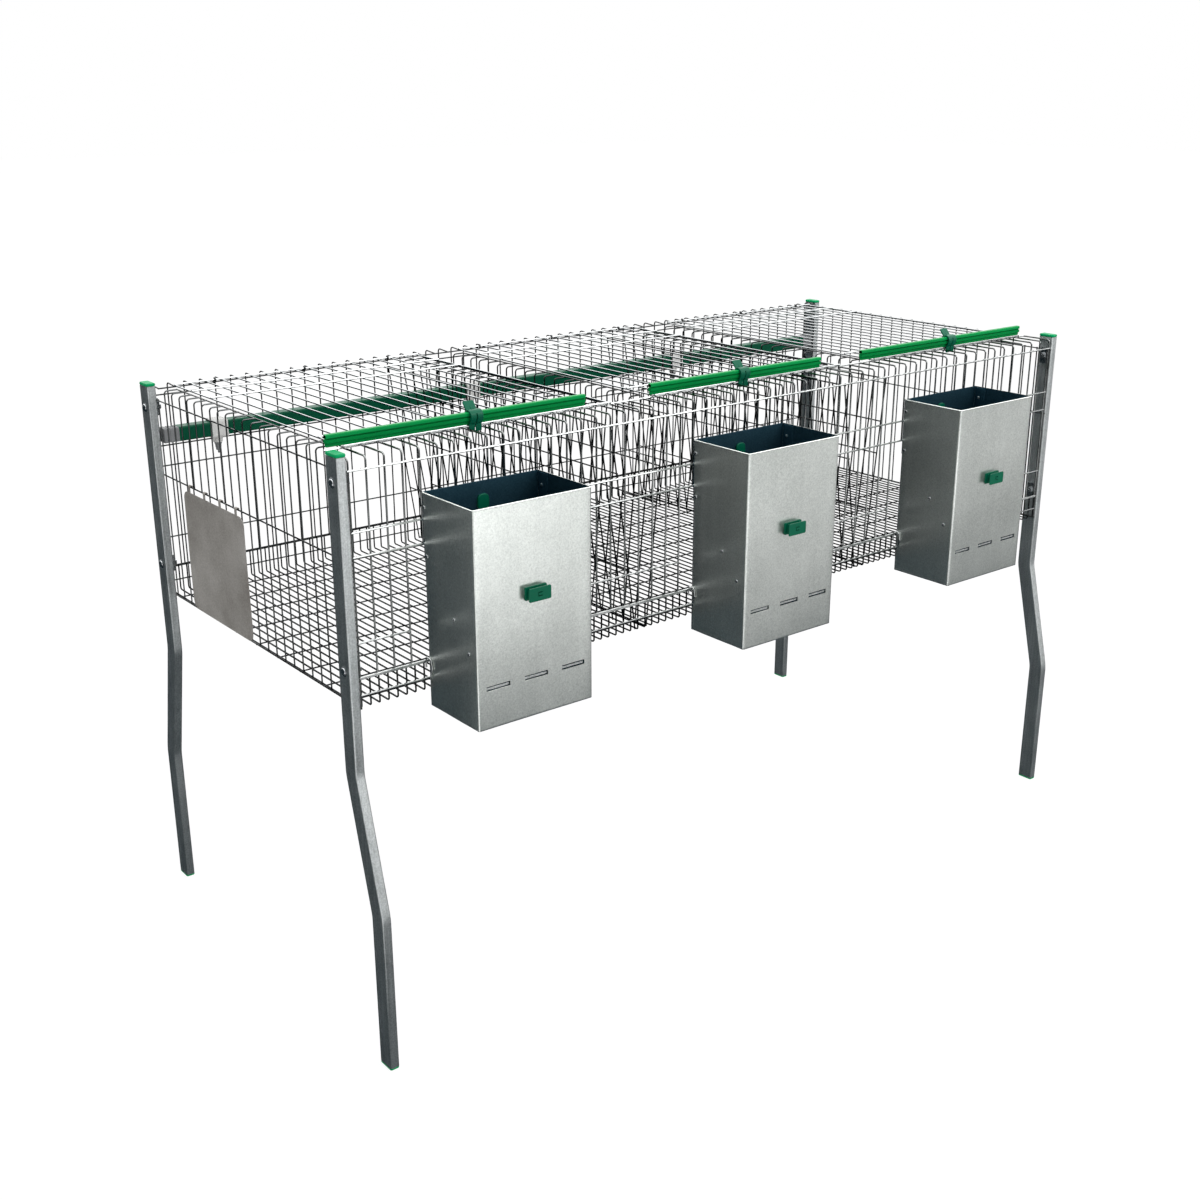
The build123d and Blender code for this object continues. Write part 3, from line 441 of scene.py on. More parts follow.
def moulded(name, colour, gloss, worn, along=None, shine=0.1):
    """Moulded plastic: a slow drift of colour, faint flow lines, a fine skin and paler rubbed patches."""
    material, place, shader = start(name)
    drift = noise(place, 18.0, 3.0)
    flow = noise(place, 160.0, 3.0, along)
    skin = noise(place, 1500.0, 2.0)
    colour = linear(*colour)
    deep = tuple(value * 0.78 for value in colour[:3]) + (1.0,)
    pale = tuple(value * (1 - worn) + worn * 0.55 for value in colour[:3]) + (1.0,)
    body = blend(place, (drift * 1.4 - 0.2).clamp(0.0, 1.0), deep, colour)
    rubbed = ((flow - 0.56) * 4.0).clamp(0.0, 1.0) * drift
    feed(shader, place, Base_Color=blend(place, rubbed, body, pale), Specular_IOR_Level=shine,
         Roughness=gloss + drift * 0.12 + flow * 0.06, Normal=bump(place, skin + flow, 0.0003, 0.12))
    return material


# One zinc wire in five greys that paint light and shade onto it: the end walls' and the front's uprights take
# darker copies as painted shade.
WIRE_ZINC = zinc_wire("zinc_wire", (40, 42, 43), (96, 98, 98))
# Darkest copy, painted shade: rear wall, floor and hay racks.
ZINC_PAINTED_SHADE = zinc_wire("wire_painted_shade", (14, 16, 17), (50, 52, 52))
FRONT_ZINC = zinc_wire("front_wire", (74, 77, 77), (150, 152, 151))
# Lighter copies, painted light: the lids' wires and the long rows, lips and outer hooks, whose tops catch the
# light from above.
LID_ZINC_PAINTED_LIGHT = zinc_wire("lid_wire", (140, 143, 144), (212, 214, 214))
ROW_ZINC_PAINTED_LIGHT = zinc_wire("row_wire", (150, 153, 153), (216, 218, 217))
HOPPER = spangle_sheet("hopper_sheet", (192, 197, 193), (244, 248, 244), 0.29)
# Dark blue-grey copy of the hopper sheet for its inside: painted shade.
HOPPER_PAINTED_SHADE = spangle_sheet("hopper_inside_painted_shade", (34, 70, 86), (62, 98, 114), 0.44)
PLATE = spangle_sheet("nest_plate", (140, 135, 129), (190, 187, 182), 0.54, 0.15, 1.0)
TUBE = drawn_tube()
FASTENER = bright_zinc()
HANDLE_GREEN = moulded("handle_green", (0, 144, 70), 0.28, 0.0, (0.03, 1.0, 1.0), 0.05)
# Paler copy of the handle green for the grip's top: a painted highlight.
CROWN_PAINTED_HIGHLIGHT = moulded("handle_crown_painted_highlight", (0, 164, 82), 0.26, 0.0, (0.03, 1.0, 1.0), 0.08)
CAP_GREEN = moulded("cap_green", (0, 170, 104), 0.34, 0.0)
CLIP_TEAL = moulded("clip_teal", (0, 104, 76), 0.26, 0.0, None, 0.14)
PIPE_GREEN = moulded("pipe_green", (0, 86, 60), 0.3, 0.0, (0.03, 1.0, 1.0))
DRINKER_GREY = moulded("drinker_grey", (148, 150, 152), 0.38, 0.05)
SADDLE_WHITE = moulded("saddle_white", (242, 242, 240), 0.4, 0.05)


# Wire panels

def sway(count, share, size):
    """Sideways drift of wires, (wire, step): a small offset each, plus one slow bow along its length."""
    offset = rng.normal(0, 0.3 * size, (count, 1))
    bow = rng.normal(0, size, (count, 1)) * np.sin(np.pi * share)[None]
    return offset + bow


def straight(start_points, stop_points, steps, drift, size=BOW):
    """Nearly straight wires between two rows of end points, bowed a little along the drift direction."""
    share = np.linspace(0, 1, steps)
    a, b = np.atleast_2d(start_points), np.atleast_2d(stop_points)
    run = a[:, None] + (b - a)[:, None] * share[None, :, None]
    return run + sway(len(a), share, size)[..., None] * np.asarray(drift, float)


def leaning(places, low, depth, wall, inward, along, peak=ROOF_Z):
    """Upright wires at places along a wall that bend over at their peak and reach in at the roof: a bent line
    of (depth, height), repeated along the wall with a drift of its own for each wire."""
    line = bent([(0.0, low), (0.0, peak), (depth, ROOF_Z)], BEND, 7)
    head = np.stack([np.zeros(5), np.linspace(low, peak - 1.4 * BEND, 6)[:-1]], 1)
    line = np.concatenate([head, line[1:]])
    share = np.linspace(0, 1, len(line))
    drift = sway(len(places), share, BOW)
    run = np.empty((len(places), len(line), 3))
    run[..., along] = np.asarray(places)[:, None] + drift
    run[..., 1 - along] = wall + inward * line[None, :, 0]
    run[..., 2] = line[None, :, 1]
    return run


def span(places, past=PAST):
    """First and last of the places, each with the bit that a wire runs past it."""
    return places[0] - past, places[-1] + past


def row(form, ends, fixed, height, along, radius=WIRE, finish=0, steps=30):
    """Adds one long wire along a wall, bowed a little up or down."""
    points = np.empty((2, 3))
    points[:, along], points[:, 1 - along], points[:, 2] = ends, fixed, height
    form.add(wires(straight(*points, steps, Z, LONG_BOW), Z, radius), finish)


def between_strips(places):
    """Which places lie clear of the front and rear roof strips, so that an upright bends over there."""
    return (places > FRONT_Y + FRONT_STRIP + CLEAR) & (places < REAR_Y - REAR_STRIP - CLEAR)


def mouths():
    """First and last upright of the feeding gap behind each feeder."""
    return [(first, first + MOUTH_GAPS) for first in
            (int(np.argmin(np.abs(UPRIGHTS - (x - MOUTH_LEFT)))) for x in FEEDER_X)]


def front_panel():
    """Front wall with its feeding gaps, bent over into the front roof strip."""
    form = Form()
    cut = np.zeros(len(UPRIGHTS), bool)
    for first, last in mouths():
        cut[first + 1:last] = True
    for group, foot in ((~cut, FRONT_ROWS[0]), (cut, FRONT_ROWS[2])):
        run = leaning(UPRIGHTS[group], foot - PAST, FRONT_STRIP, FRONT_Y + BAR, 1, 0)
        form.add(wires(run, X, FRONT_WIRE))
    ends = span(UPRIGHTS)
    for z in FRONT_ROWS:
        if z == FRONT_ROWS[1]:
            stops = [ends[0]] + [UPRIGHTS[i] for pair in mouths() for i in pair] + [ends[1]]
            for part in zip(stops[::2], stops[1::2]):
                row(form, part, FRONT_Y, z, 0, ROW_WIRE, 1, 12)
        else:
            row(form, ends, FRONT_Y, z, 0, ROW_WIRE, 1)
    row(form, ends, FRONT_Y + FRONT_STRIP, STRIP_Z, 0, ROW_WIRE, 1)
    form.piece("front_panel_wires", "frame", "galvanised_wire", [FRONT_ZINC, ROW_ZINC_PAINTED_LIGHT], "front_wall_mesh",
               "front_roof_strip")


def rear_panel():
    """Rear wall bent over into the rear roof strip."""
    form = Form()
    run = leaning(UPRIGHTS, FRONT_ROWS[0] - PAST, REAR_STRIP, REAR_Y + SINK, -1, 0, REAR_PEAK)
    form.add(wires(run, X))
    for z in FRONT_ROWS:
        row(form, span(UPRIGHTS), REAR_Y - SINK, z, 0)
    row(form, span(UPRIGHTS), REAR_Y - REAR_STRIP, STRIP_Z, 0)
    form.piece("rear_panel_wires", "frame", "galvanised_wire", [ZINC_PAINTED_SHADE], "rear_wall_mesh",
               "rear_roof_strip")


def floor_panel():
    """Floor of close wires that run from rear to front and turn up at both ends, on wide cross wires."""
    form = Form()
    y, far, z = FRONT_Y + BAR, REAR_Y - BAR, FLOOR_Z - 0.2
    line = bent([(y, LIP_ROWS[1] + 1), (y, z), (far, z), (far, LIP_ROWS[1] + 1)], LIP_BEND, 7)
    middle = np.stack([np.linspace(y + LIP_BEND, far - LIP_BEND, 9)[1:-1], np.full(7, z)], 1)
    line = np.concatenate([line[:8], middle, line[8:]])
    share = np.linspace(0, 1, len(line))
    run = np.empty((len(FLOOR_WIRES), len(line), 3))
    run[..., 0] = FLOOR_WIRES[:, None] + sway(len(FLOOR_WIRES), share, LONG_BOW)
    run[..., 1:] = line[None]
    form.add(wires(run, X, FLOOR_WIRE))
    ends = span(FLOOR_WIRES)
    for height in LIP_ROWS:
        row(form, ends, FRONT_Y + 0.3, height, 0, LIP_WIRE, 1)
        row(form, ends, REAR_Y + 0.3, height, 0)
    for place in np.linspace(FRONT_Y + 36, REAR_Y - 36, 9):
        row(form, ends, place, z - 2 * SINK, 0)
    form.piece("floor_wires", "frame", "galvanised_wire", [ZINC_PAINTED_SHADE, ROW_ZINC_PAINTED_LIGHT], "floor_mesh",
               "floor_front_lip", "floor_rear_lip")


def end_wall(form, x, lean, cut=()):
    """Wall square to X: uprights that bend over into a narrow roof strip between the front and rear strips,
    straight ones at both ends, and its long wires. Cut uprights begin at the wire above the nest opening."""
    places, low = END_UPRIGHTS, END_ROWS[0] - PAST
    upright_x, row_x = x + lean * SINK, x - lean * SINK
    over = between_strips(places)
    opened = np.isin(np.arange(len(places)), list(cut))
    for group, foot in ((over & ~opened, low), (over & opened, END_ROWS[1] - PAST)):
        if group.any():
            form.add(wires(leaning(places[group], foot, SIDE_STRIP, upright_x, lean, 1), Y))
    plain = places[~over]
    foot = np.stack([np.full(len(plain), upright_x), plain, np.full(len(plain), low)], 1)
    head = foot + [0, 0, END_ROWS[-1] + PAST - low]
    form.add(wires(straight(foot, head, 6, Y), Y))
    for z in END_ROWS:
        row(form, span(places), row_x, z, 1, steps=16)
    row(form, span(places[over]), x + lean * SIDE_STRIP, STRIP_Z, 1, steps=16)


def rack_side(form, foot_x, top_x, depth):
    """Leaning side of the hay rack between two bays. Its uprights go from their foot out to their top, kink
    to the upright and bend over to the right. Near the walls they end at the top wire, and one ends under the
    water pipe."""
    places = RACK_UPRIGHTS
    slope = (top_x - foot_x) / (END_ROWS[2] - FLOOR_Z)
    foot, knee = np.array([foot_x, RACK_ROWS[0] - BAR]), np.array([top_x, END_ROWS[2]])
    shift = np.array([np.sign(slope) * SINK, 0.0])
    line = bent([foot, knee, (knee[0], ROOF_Z), (knee[0] + depth, ROOF_Z)], BEND, 6)
    line = np.concatenate([foot + (knee - foot) * np.linspace(0, 0.9, 6)[:, None], line[1:]]) + shift
    over = between_strips(places)
    seat = foot + (knee - foot) * (RACK_ROWS[3] + BAR - foot[1]) / (knee[1] - foot[1])
    tops = np.where((np.arange(len(places)) == UNDER_PIPE)[:, None], seat, knee + [0, BAR])
    run = np.empty((over.sum(), len(line), 3))
    run[..., 0], run[..., 2] = line[None, :, 0], line[None, :, 1]
    run[..., 1] = places[over, None] + sway(over.sum(), np.linspace(0, 1, len(line)), LONG_BOW)
    form.add(wires(run, Y), 1)
    plain = places[~over]
    ends = [np.stack([end[:, 0] + shift[0], plain, end[:, 1]], 1)
            for end in (np.tile(foot, (len(plain), 1)), tops[~over])]
    form.add(wires(straight(*ends, 6, Y), Y), 1)
    for z in RACK_ROWS:
        row(form, span(places, 1.0), foot_x + slope * (z - FLOOR_Z) - shift[0], z, 1, finish=1, steps=16)
    row(form, span(places[over]), knee[0] + depth, STRIP_Z, 1, steps=16)


def cross_walls():
    """Both end walls, the left one with its nest opening, and both hay racks."""
    form = Form()
    nest = int(np.argmin(np.abs(END_UPRIGHTS - (NEST_Y - PITCH * NEST_GAPS / 2))))
    end_wall(form, -END_X, 1, range(nest + 1, nest + NEST_GAPS))
    end_wall(form, END_X, -1)
    for x in RACKS:
        for foot, top, depth in RACK_SIDES:
            rack_side(form, x + foot, x + top, depth)
    form.piece("end_and_rack_wires", "frame", "galvanised_wire", [WIRE_ZINC, ZINC_PAINTED_SHADE], "left_end_mesh",
               "right_end_mesh", "left_partition_mesh", "right_partition_mesh", "side_roof_strips")


def lid(index, bay):
    """Lid of wires from front to rear with cross wires on top."""
    form = Form()
    across = np.linspace(*LID_WIRES[index])
    foot = along_x(across, LID_FRONT_Y - 1, LID_Z)
    head = foot + [0, HINGE_Y - LID_FRONT_Y + 2, 0]
    form.add(wires(straight(foot, head, 10, X), X, LID_WIRE))
    for y in LID_ROWS:
        bow = 0.1 if y in (LID_FRONT_Y, HINGE_Y) else BOW
        start_point, stop_point = [(x, y, LID_TOP_Z) for x in span(across, 1.1)]
        form.add(wires(straight(start_point, stop_point, 14, Y, bow), Z, LID_WIRE))
    form.piece(f"{bay}_lid_wires", f"{bay}_lid", "galvanised_wire", [LID_ZINC_PAINTED_LIGHT], f"{bay}_lid_mesh")


# Legs

def legs():
    """Tube of rounded section carried down a dog-leg, with a domed cap, a foot plug and two bolts each."""
    caps, plugs, bolts = Form(), Form(), Form()
    section = rounded(*LEG_SECTION, 2.4, 4)
    dome = [(6.0 * math.cos(turn), 0.9 + 2.7 * math.sin(turn)) for turn in np.linspace(0, 1.5, 8)]
    bolt = [(0.05, -24.7), (2.6, -24.7), (3.0, -24.2), (3.0, 0.0), (7.0, 0.0), (7.2, 0.35), (6.7, 0.8),
            (6.1, 0.9), *dome]
    for side, side_name in ((-1, "left"), (1, "right")):
        x = side * LEG_X
        for end, end_name, top_y in ((-1, "front", LEG_Y[0]), (1, "rear", LEG_Y[1])):
            foot_y = top_y + end * LEG_OUT
            line = bent(np.column_stack([(top_y, top_y, foot_y, foot_y), LEG_Z]), 70.0, 8)
            node = f"leg_{end_name}_{side_name}"
            tube = Form().add(carry(section, at_x(x, line), X))
            tube.piece(f"{node}_tube", "frame", "leg_steel", [TUBE], node)
            caps.add(block((x, top_y, LEG_Z[0] + 2.5), (15.8, 30.8, 5.0), 3.4, 2.0))
            caps.add(block((x, top_y, LEG_Z[0] - 10.0), CAP_STEM, 1.4, 0.6))
            plugs.add(block((x, foot_y, LEG_Z[-1] / 2), (*LEG_SECTION, LEG_Z[-1]), 3.0, 0.8))
            plugs.add(block((x, foot_y, LEG_Z[-1] + 10.0), CAP_STEM, 1.4, 0.6))
            for z in BOLT_Z:
                bolts.add(lathe(bolt, (x + side * LEG_SECTION[0] / 2, top_y, z), (side, 0, 0)))
    caps.piece("leg_caps", "frame", "green_caps", [CAP_GREEN], "leg_top_caps")
    plugs.piece("leg_plugs", "frame", "green_caps", [CAP_GREEN], "leg_foot_plugs")
    bolts.piece("leg_dome_bolts", "frame", "zinc_fasteners", [FASTENER], "leg_bolts")


# Handles and latches

def handle(index, bay):
    """Extruded grip: two halves with a deep groove between them, on a web down to the lid's front wire, and a
    thin shell over its top in a paler green that is a painted highlight. Its profile is carried along X and
    drawn in a little at both ends."""
    right = np.array([(2.6, -6.2), (3.5, -5.8), (3.9, -5.0), (3.95, -1.2), (3.5, -0.9), (1.3, -0.7),
                      (1.3, 0.7), (3.5, 0.9), (3.95, 1.2), (3.95, 4.9), (3.6, 5.6), (2.8, 6.2)])
    web = np.array([(-1.1, -6.3), (-1.1, -11.1), (1.1, -11.1), (1.1, -6.3)])
    profile = np.concatenate([right, right[::-1] * [-1, 1], web])
    # Outline of the thin shell over the grip's top that carries the painted highlight.
    half = np.array([(3.0, 1.7), (4.0, 1.7), (4.0, 4.9), (3.66, 5.64), (2.84, 6.3)])
    crown = np.concatenate([half, half[::-1] * [-1, 1]])
    half_long = HANDLE_LONG[index] / 2
    steps = half_long - np.array([0.0, 0.5, 1.4, 2.5])
    along = np.concatenate([-steps, np.linspace(-half_long, half_long, 9)[1:-1], steps[::-1]])
    scale = np.ones(len(along))
    scale[[0, -1]], scale[[1, -2]], scale[[2, -3]] = 0.88, 0.95, 0.985
    path = along_x(HANDLE_X[index] + along, LID_FRONT_Y, HANDLE_Z)
    form = Form().add(carry(profile, path, Y, scale))
    form.add(carry(crown, path, Y, scale), 1)
    form.piece(f"{bay}_grip", f"{bay}_lid", "green_handle", [HANDLE_GREEN, CROWN_PAINTED_HIGHLIGHT],
               f"{bay}_lid_handle", crease=20.0)


def latch(index, bay):
    """Spring clip: a band carried round the grip from behind, over the crown and down the front, split below
    into two prongs, with a thumb tab that stands out of the crown and leans back."""
    form = Form()
    middle = np.array([LID_FRONT_Y, HANDLE_Z])
    reach, thick = 8.25, 2.6

    def strap(line, wide, shift, scale, thick=thick):
        section = rounded(wide, thick, min(wide, thick) * 0.3, 3)
        form.add(carry(section, at_x(LATCH_X[index] + shift, line), X, scale))

    ends = np.ones(24)
    ends[0] = 0.85
    strap(arc(middle, reach, 0, 150, 24), 21.0, 0.0, ends)
    cheek = arc(middle, reach, 146, 190, 8)
    foot = np.array([cheek[-1], middle + [-5.8, -7.4], middle + [-3.0, -10.6], middle + [-3.0, -21.0]])
    line = np.concatenate([cheek[:-1], bent(foot, 3.0, 6), [middle + [-3.0, -21.8]]])
    taper = np.ones(len(line))
    taper[-1], taper[-2] = 0.55, 0.95
    for shift in (-5.6, 5.6):
        strap(line, 9.8, shift, taper)
    lean = np.array([math.cos(math.radians(50)), math.sin(math.radians(50))])
    tab = middle + np.array([7.2, 9.4, 10.8, 16.8, 22.4, 23.8, 24.1])[:, None] * lean
    strap(tab, 18.0, 0.0, [1.0, 1.0, 1.0, 1.0, 1.0, 0.94, 0.75])
    rib = middle + np.array([9.8, 12.8, 15.8])[:, None] * lean + np.array([-0.77, 0.64]) * 1.2
    strap(rib, 3.0, 0.0, [1.0, 0.9, 0.5], 1.2)
    form.piece(f"{bay}_clip_latch", f"{bay}_latch", "teal_plastic", [CLIP_TEAL], f"{bay}_lid_latch")


# Feeders

def shell_loop():
    """Plan of the hopper's wall as a ring from the middle of the back: x, y and the outward normal of each
    point, with close points on the folds and lines at the slots' ends."""
    half, fold = FEEDER_HALF, 3.0
    slot_ends = (SLOT_X[:, None] + [-SLOT_HALF, SLOT_HALF]).ravel()
    front_x = np.unique(np.round(np.concatenate([np.linspace(-half + fold, half - fold, 33), slot_ends]), 3))
    side_y = np.linspace(-fold, fold - FEEDER_DEEP, 22)
    turn = np.radians(np.linspace(0, 90, 7)[1:-1])
    back_x = np.linspace(0, half - fold, 5)

    def corner(sx, sy, first):
        out = np.stack([np.cos(turn + first), np.sin(turn + first)], 1)
        centre = np.array([sx * (half - fold), (0 if sy > 0 else -FEEDER_DEEP) - sy * fold])
        return np.column_stack([centre + fold * out, out])

    def edge(x, y, normal):
        x, y = np.broadcast_arrays(np.asarray(x, float), np.asarray(y, float))
        return np.column_stack([x, y, np.tile(normal, (len(x), 1))])

    return np.concatenate([
        edge(-back_x, 0.0, (0, 1)), corner(-1, 1, np.pi / 2), edge(-half, side_y, (-1, 0)),
        corner(-1, -1, np.pi), edge(front_x, -FEEDER_DEEP, (0, -1)), corner(1, -1, 1.5 * np.pi),
        edge(half, side_y[::-1], (1, 0)), corner(1, 1, 0.0), edge(back_x[::-1], 0.0, (0, 1))])


def dent(a, b, seed):
    """Slow hollows of a thin sheet: three waves with phases of its own."""
    phase = np.random.default_rng(seed).uniform(0, 2 * np.pi, 3)
    waves = (a / 31 + b / 57, a / 47 - b / 38, b / 71)
    return sum(np.sin(wave + shift) for wave, shift in zip(waves, phase)) / 3


def hopper(index, bay):
    """Folded hopper: one sheet round the plan, low at the back for the trough's lip, with a rolled rim, three
    dust slots in front, creases on its sides where the baffle is riveted, a riveted flange inside its right
    rear corner, and a bottom sheet. The wall's inner faces, the flange and a thin layer on the bottom take a
    dark finish that is painted shade."""
    form = Form()
    x, tall = FEEDER_X[index], FEEDER_TOP - FEEDER_LOW
    slot_low, slot_high, lip, curl = 55.5, 62.5, 66.0, 0.9
    loop = shell_loop()
    lines = np.concatenate([[0, 0.15, 0.5, 1.0, 3.0], np.linspace(8, 50, 7), [slot_low, slot_high, lip],
                            np.linspace(72, 306, 40),
                            tall - curl + curl * np.sin(np.linspace(-np.pi / 2, np.pi / 2, 9))])
    middle, level = (loop[:-1] + loop[1:]) / 2, (lines[:-1] + lines[1:]) / 2
    on_back, on_front = middle[:, 3] > 0.9, middle[:, 3] < -0.9
    in_slot = on_front & np.any(np.abs(middle[:, :1] - SLOT_X) < SLOT_HALF, axis=1)
    solid = ~(on_back[:, None] & (level > lip)[None])
    solid &= ~(in_slot[:, None] & ((level > slot_low) & (level < slot_high))[None])

    def place(u, z, depth):
        """Wall moved along its normal: slow hollows that fade within 40 mm of the folds and 60 mm of the rim,
        a crease along the baffle's edge, a foot tucked in by a quarter circle, and the roll round the rim."""
        across, back, out_x, out_y = np.moveaxis(loop[u.astype(int)], -1, 0)
        side, face = np.abs(out_x), np.abs(out_y)
        room = np.minimum(95 - np.abs(across), 40) * (face > 0.5)
        room = room + np.minimum(60 - np.abs(back + FEEDER_DEEP / 2), 40) * (side > 0.5)
        fade = np.clip(room / 40, 0, 1) * np.clip((tall - z) / 60, 0, 1) * (np.maximum(side, face) > 0.999)
        hollow = 0.55 * dent(np.where(side > 0.5, back * 1.3, across), z, 5 + index) * fade
        from_baffle = (z - 96.0) - (back + FEEDER_DEEP - 16.0) * 120.0 / 106.0
        crease = 0.21 * np.exp(-(from_baffle / 2.5) ** 2) * (side > 0.9) * (z > 90)
        tuck = 1.0 - np.sqrt(1.0 - np.clip(1.0 - z, 0, 1) ** 2)
        roll = curl * np.sqrt(np.clip(1 - ((z - tall + curl) / curl) ** 2, 0, None)) * (out_y < 0.3)
        out = np.clip(hollow - 0.3, -0.9, 0) + crease - tuck + (1 - depth) * roll - depth * SHEET
        return np.stack([across + out * out_x + x, back + out * out_y + FEEDER_BACK, z + FEEDER_LOW], -1)

    # Finish 1 on the wall's inner faces is the dark painted shade.
    form.add(pierced(np.arange(len(loop)), lines, solid, place, ring=True), [0, 1, 0])
    form.add(block((x, FEEDER_MIDDLE, FEEDER_LOW + 0.5), (194.0, 121.0, SHEET), 2.0, 0.3))
    # Thin layer over the bottom in the dark finish: painted shade.
    form.add(block((x, FEEDER_MIDDLE, FEEDER_LOW + 1.2), (192.0, 119.0, 0.6), 1.0, 0.2), 1)
    form.add(block((x + 96.4, FEEDER_BACK - 12.5, FEEDER_TOP - 49.0), (1.2, 22.0, 94.0), 0.4, 0.2), 1)
    rivet = [(0.05, -1.0), (2.6, -1.0), (2.5, 0.5), (1.6, 1.1), (0.05, 1.3)]
    for drop in (20.0, 78.0):
        form.add(lathe(rivet, (x + 95.8, FEEDER_BACK - 10.0, FEEDER_TOP - drop), (-1, 0, 0), 12))
    form.piece(f"{bay}_hopper", f"{bay}_feeder", "feeder_sheet", [HOPPER, HOPPER_PAINTED_SHADE],
               f"{bay}_feeder_shell")


def slot_screens(index, bay):
    """Ribbed screens behind the dust slots: slanting ribs 4.6 mm apart, as a triangle wave of 0.25 mm."""
    form = Form()
    u, v = np.linspace(-18.4, 18.4, 89), np.linspace(-1.4, 1.4, 10)

    def screen(middle):
        def place(a, b, depth):
            wave = 0.25 * np.abs((a + b) / 4.6 % 1.0 - 0.5) * 2
            y = FEEDER_FRONT + 2.4 - wave * (1 - depth) + depth * 0.5
            return np.stack([a + middle, y, b + FEEDER_LOW + 58.5], -1)
        return place

    for shift in SLOT_X:
        form.add(pierced(u, v, np.ones((88, 9), bool), screen(FEEDER_X[index] + shift)))
    form.piece(f"{bay}_slot_screens", f"{bay}_feeder", "feeder_sheet", [TUBE])


def card_clip(index, bay):
    """Card holder: a rear plate on the hopper, two bars, and a front plate pierced by a C-shaped slot."""
    form = Form()
    x, z = FEEDER_X[index], FEEDER_LOW + 181.5
    half_x, half_z = 18.5, 9.75
    u, v = np.linspace(-half_x, half_x, 75), np.linspace(-half_z, half_z, 40)
    mid_u, mid_v = np.meshgrid((u[:-1] + u[1:]) / 2, (v[:-1] + v[1:]) / 2, indexing="ij")
    c_slot = (np.abs(mid_u) < 3.6) & (np.abs(mid_v) < 3.1) & ~((np.abs(mid_v) < 1.8) & (mid_u > -2.3))

    def plate(front_y, thick):
        def place(a, b, depth):
            in_a, in_b = round_off(a, b, half_x, half_z, 2.6)
            edge = np.minimum(half_x - np.abs(a), half_z - np.abs(b))
            soft = 0.5 * np.clip(1 - edge / 0.9, 0, 1) ** 2
            y = front_y + soft * (1 - depth) + depth * thick - soft * depth
            return np.stack([in_a + x, y, in_b + z], -1)
        return place

    form.add(pierced(u, v, ~c_slot, plate(FEEDER_FRONT - 12.0, 2.0)))
    form.add(pierced(u, v, np.ones_like(c_slot), plate(FEEDER_FRONT - 2.0, 2.0)))
    for side in (-1, 1):
        form.add(block((x, FEEDER_FRONT - 6.0, z + side * 5.0), (12.0, 9.0, 2.6), 0.6, 0.3, 1))
        form.add(block((x + side * 12.5, FEEDER_FRONT - 2.6, z), (2.0, 1.6, 15.0), 0.6, 0.3, 1))
    form.piece(f"{bay}_card_holder", f"{bay}_feeder", "teal_plastic", [CLIP_TEAL], f"{bay}_card_clip")


def hanger(index, bay):
    """Moulded hook: a domed head inside the hopper, an arm through its back and a beak over the wall's
    wire."""
    form = Form()
    x = FEEDER_X[index]
    inner, nose = FEEDER_BACK - SHEET, FRONT_Y + BAR
    low = FRONT_ROWS[3] + BAR
    form.add(block((x, inner - 1.75, low + 7.0), (19.0, 3.5, 24.0), 7.6, 1.2, 1))
    form.add(block((x, (inner + nose + 3.5) / 2, low + 2.5), (18.8, nose + 3.5 - inner, 5.0), 1.2, 0.5, 1))
    form.add(block((x, nose + 1.75, low - 2.2), (18.8, 3.4, 13.6), 1.4, 0.9, 0))
    form.piece(f"{bay}_hanger", f"{bay}_feeder", "teal_plastic", [CLIP_TEAL], f"{bay}_feeder_hook")


def wire_hooks(index, bay):
    """Two bent wires over the trough's back lip and the wall's sill wire, and one beside each side sheet."""
    form = Form()
    over = FRONT_ROWS[0] + BAR + HOOK_WIRE
    lip, behind = FEEDER_BACK - SHEET - HOOK_WIRE, FRONT_Y + BAR + HOOK_WIRE
    line = bent([(lip, over - 23), (lip, over), (behind, over), (behind, over - 23)], 2.2, 6)
    outer = bent([(lip - 3, over - 30), (lip - 9, over - 12), (lip - 6, over + 1.2), (behind, over + 1.2),
                  (behind, over - 14)], 3.0, 7)
    for side in (-1, 1):
        path = at_x(FEEDER_X[index] + side * 82.0, line)
        form.add(wires(path, X, HOOK_WIRE, 10))
        path = at_x(FEEDER_X[index] + side * 99.3, outer)
        form.add(wires(path, X, OUTER_HOOK_WIRE, 10), 1)
    form.piece(f"{bay}_wire_hooks", f"{bay}_feeder", "galvanised_wire", [WIRE_ZINC, ROW_ZINC_PAINTED_LIGHT],
               f"{bay}_corner_hooks")


# Water line and nest plate

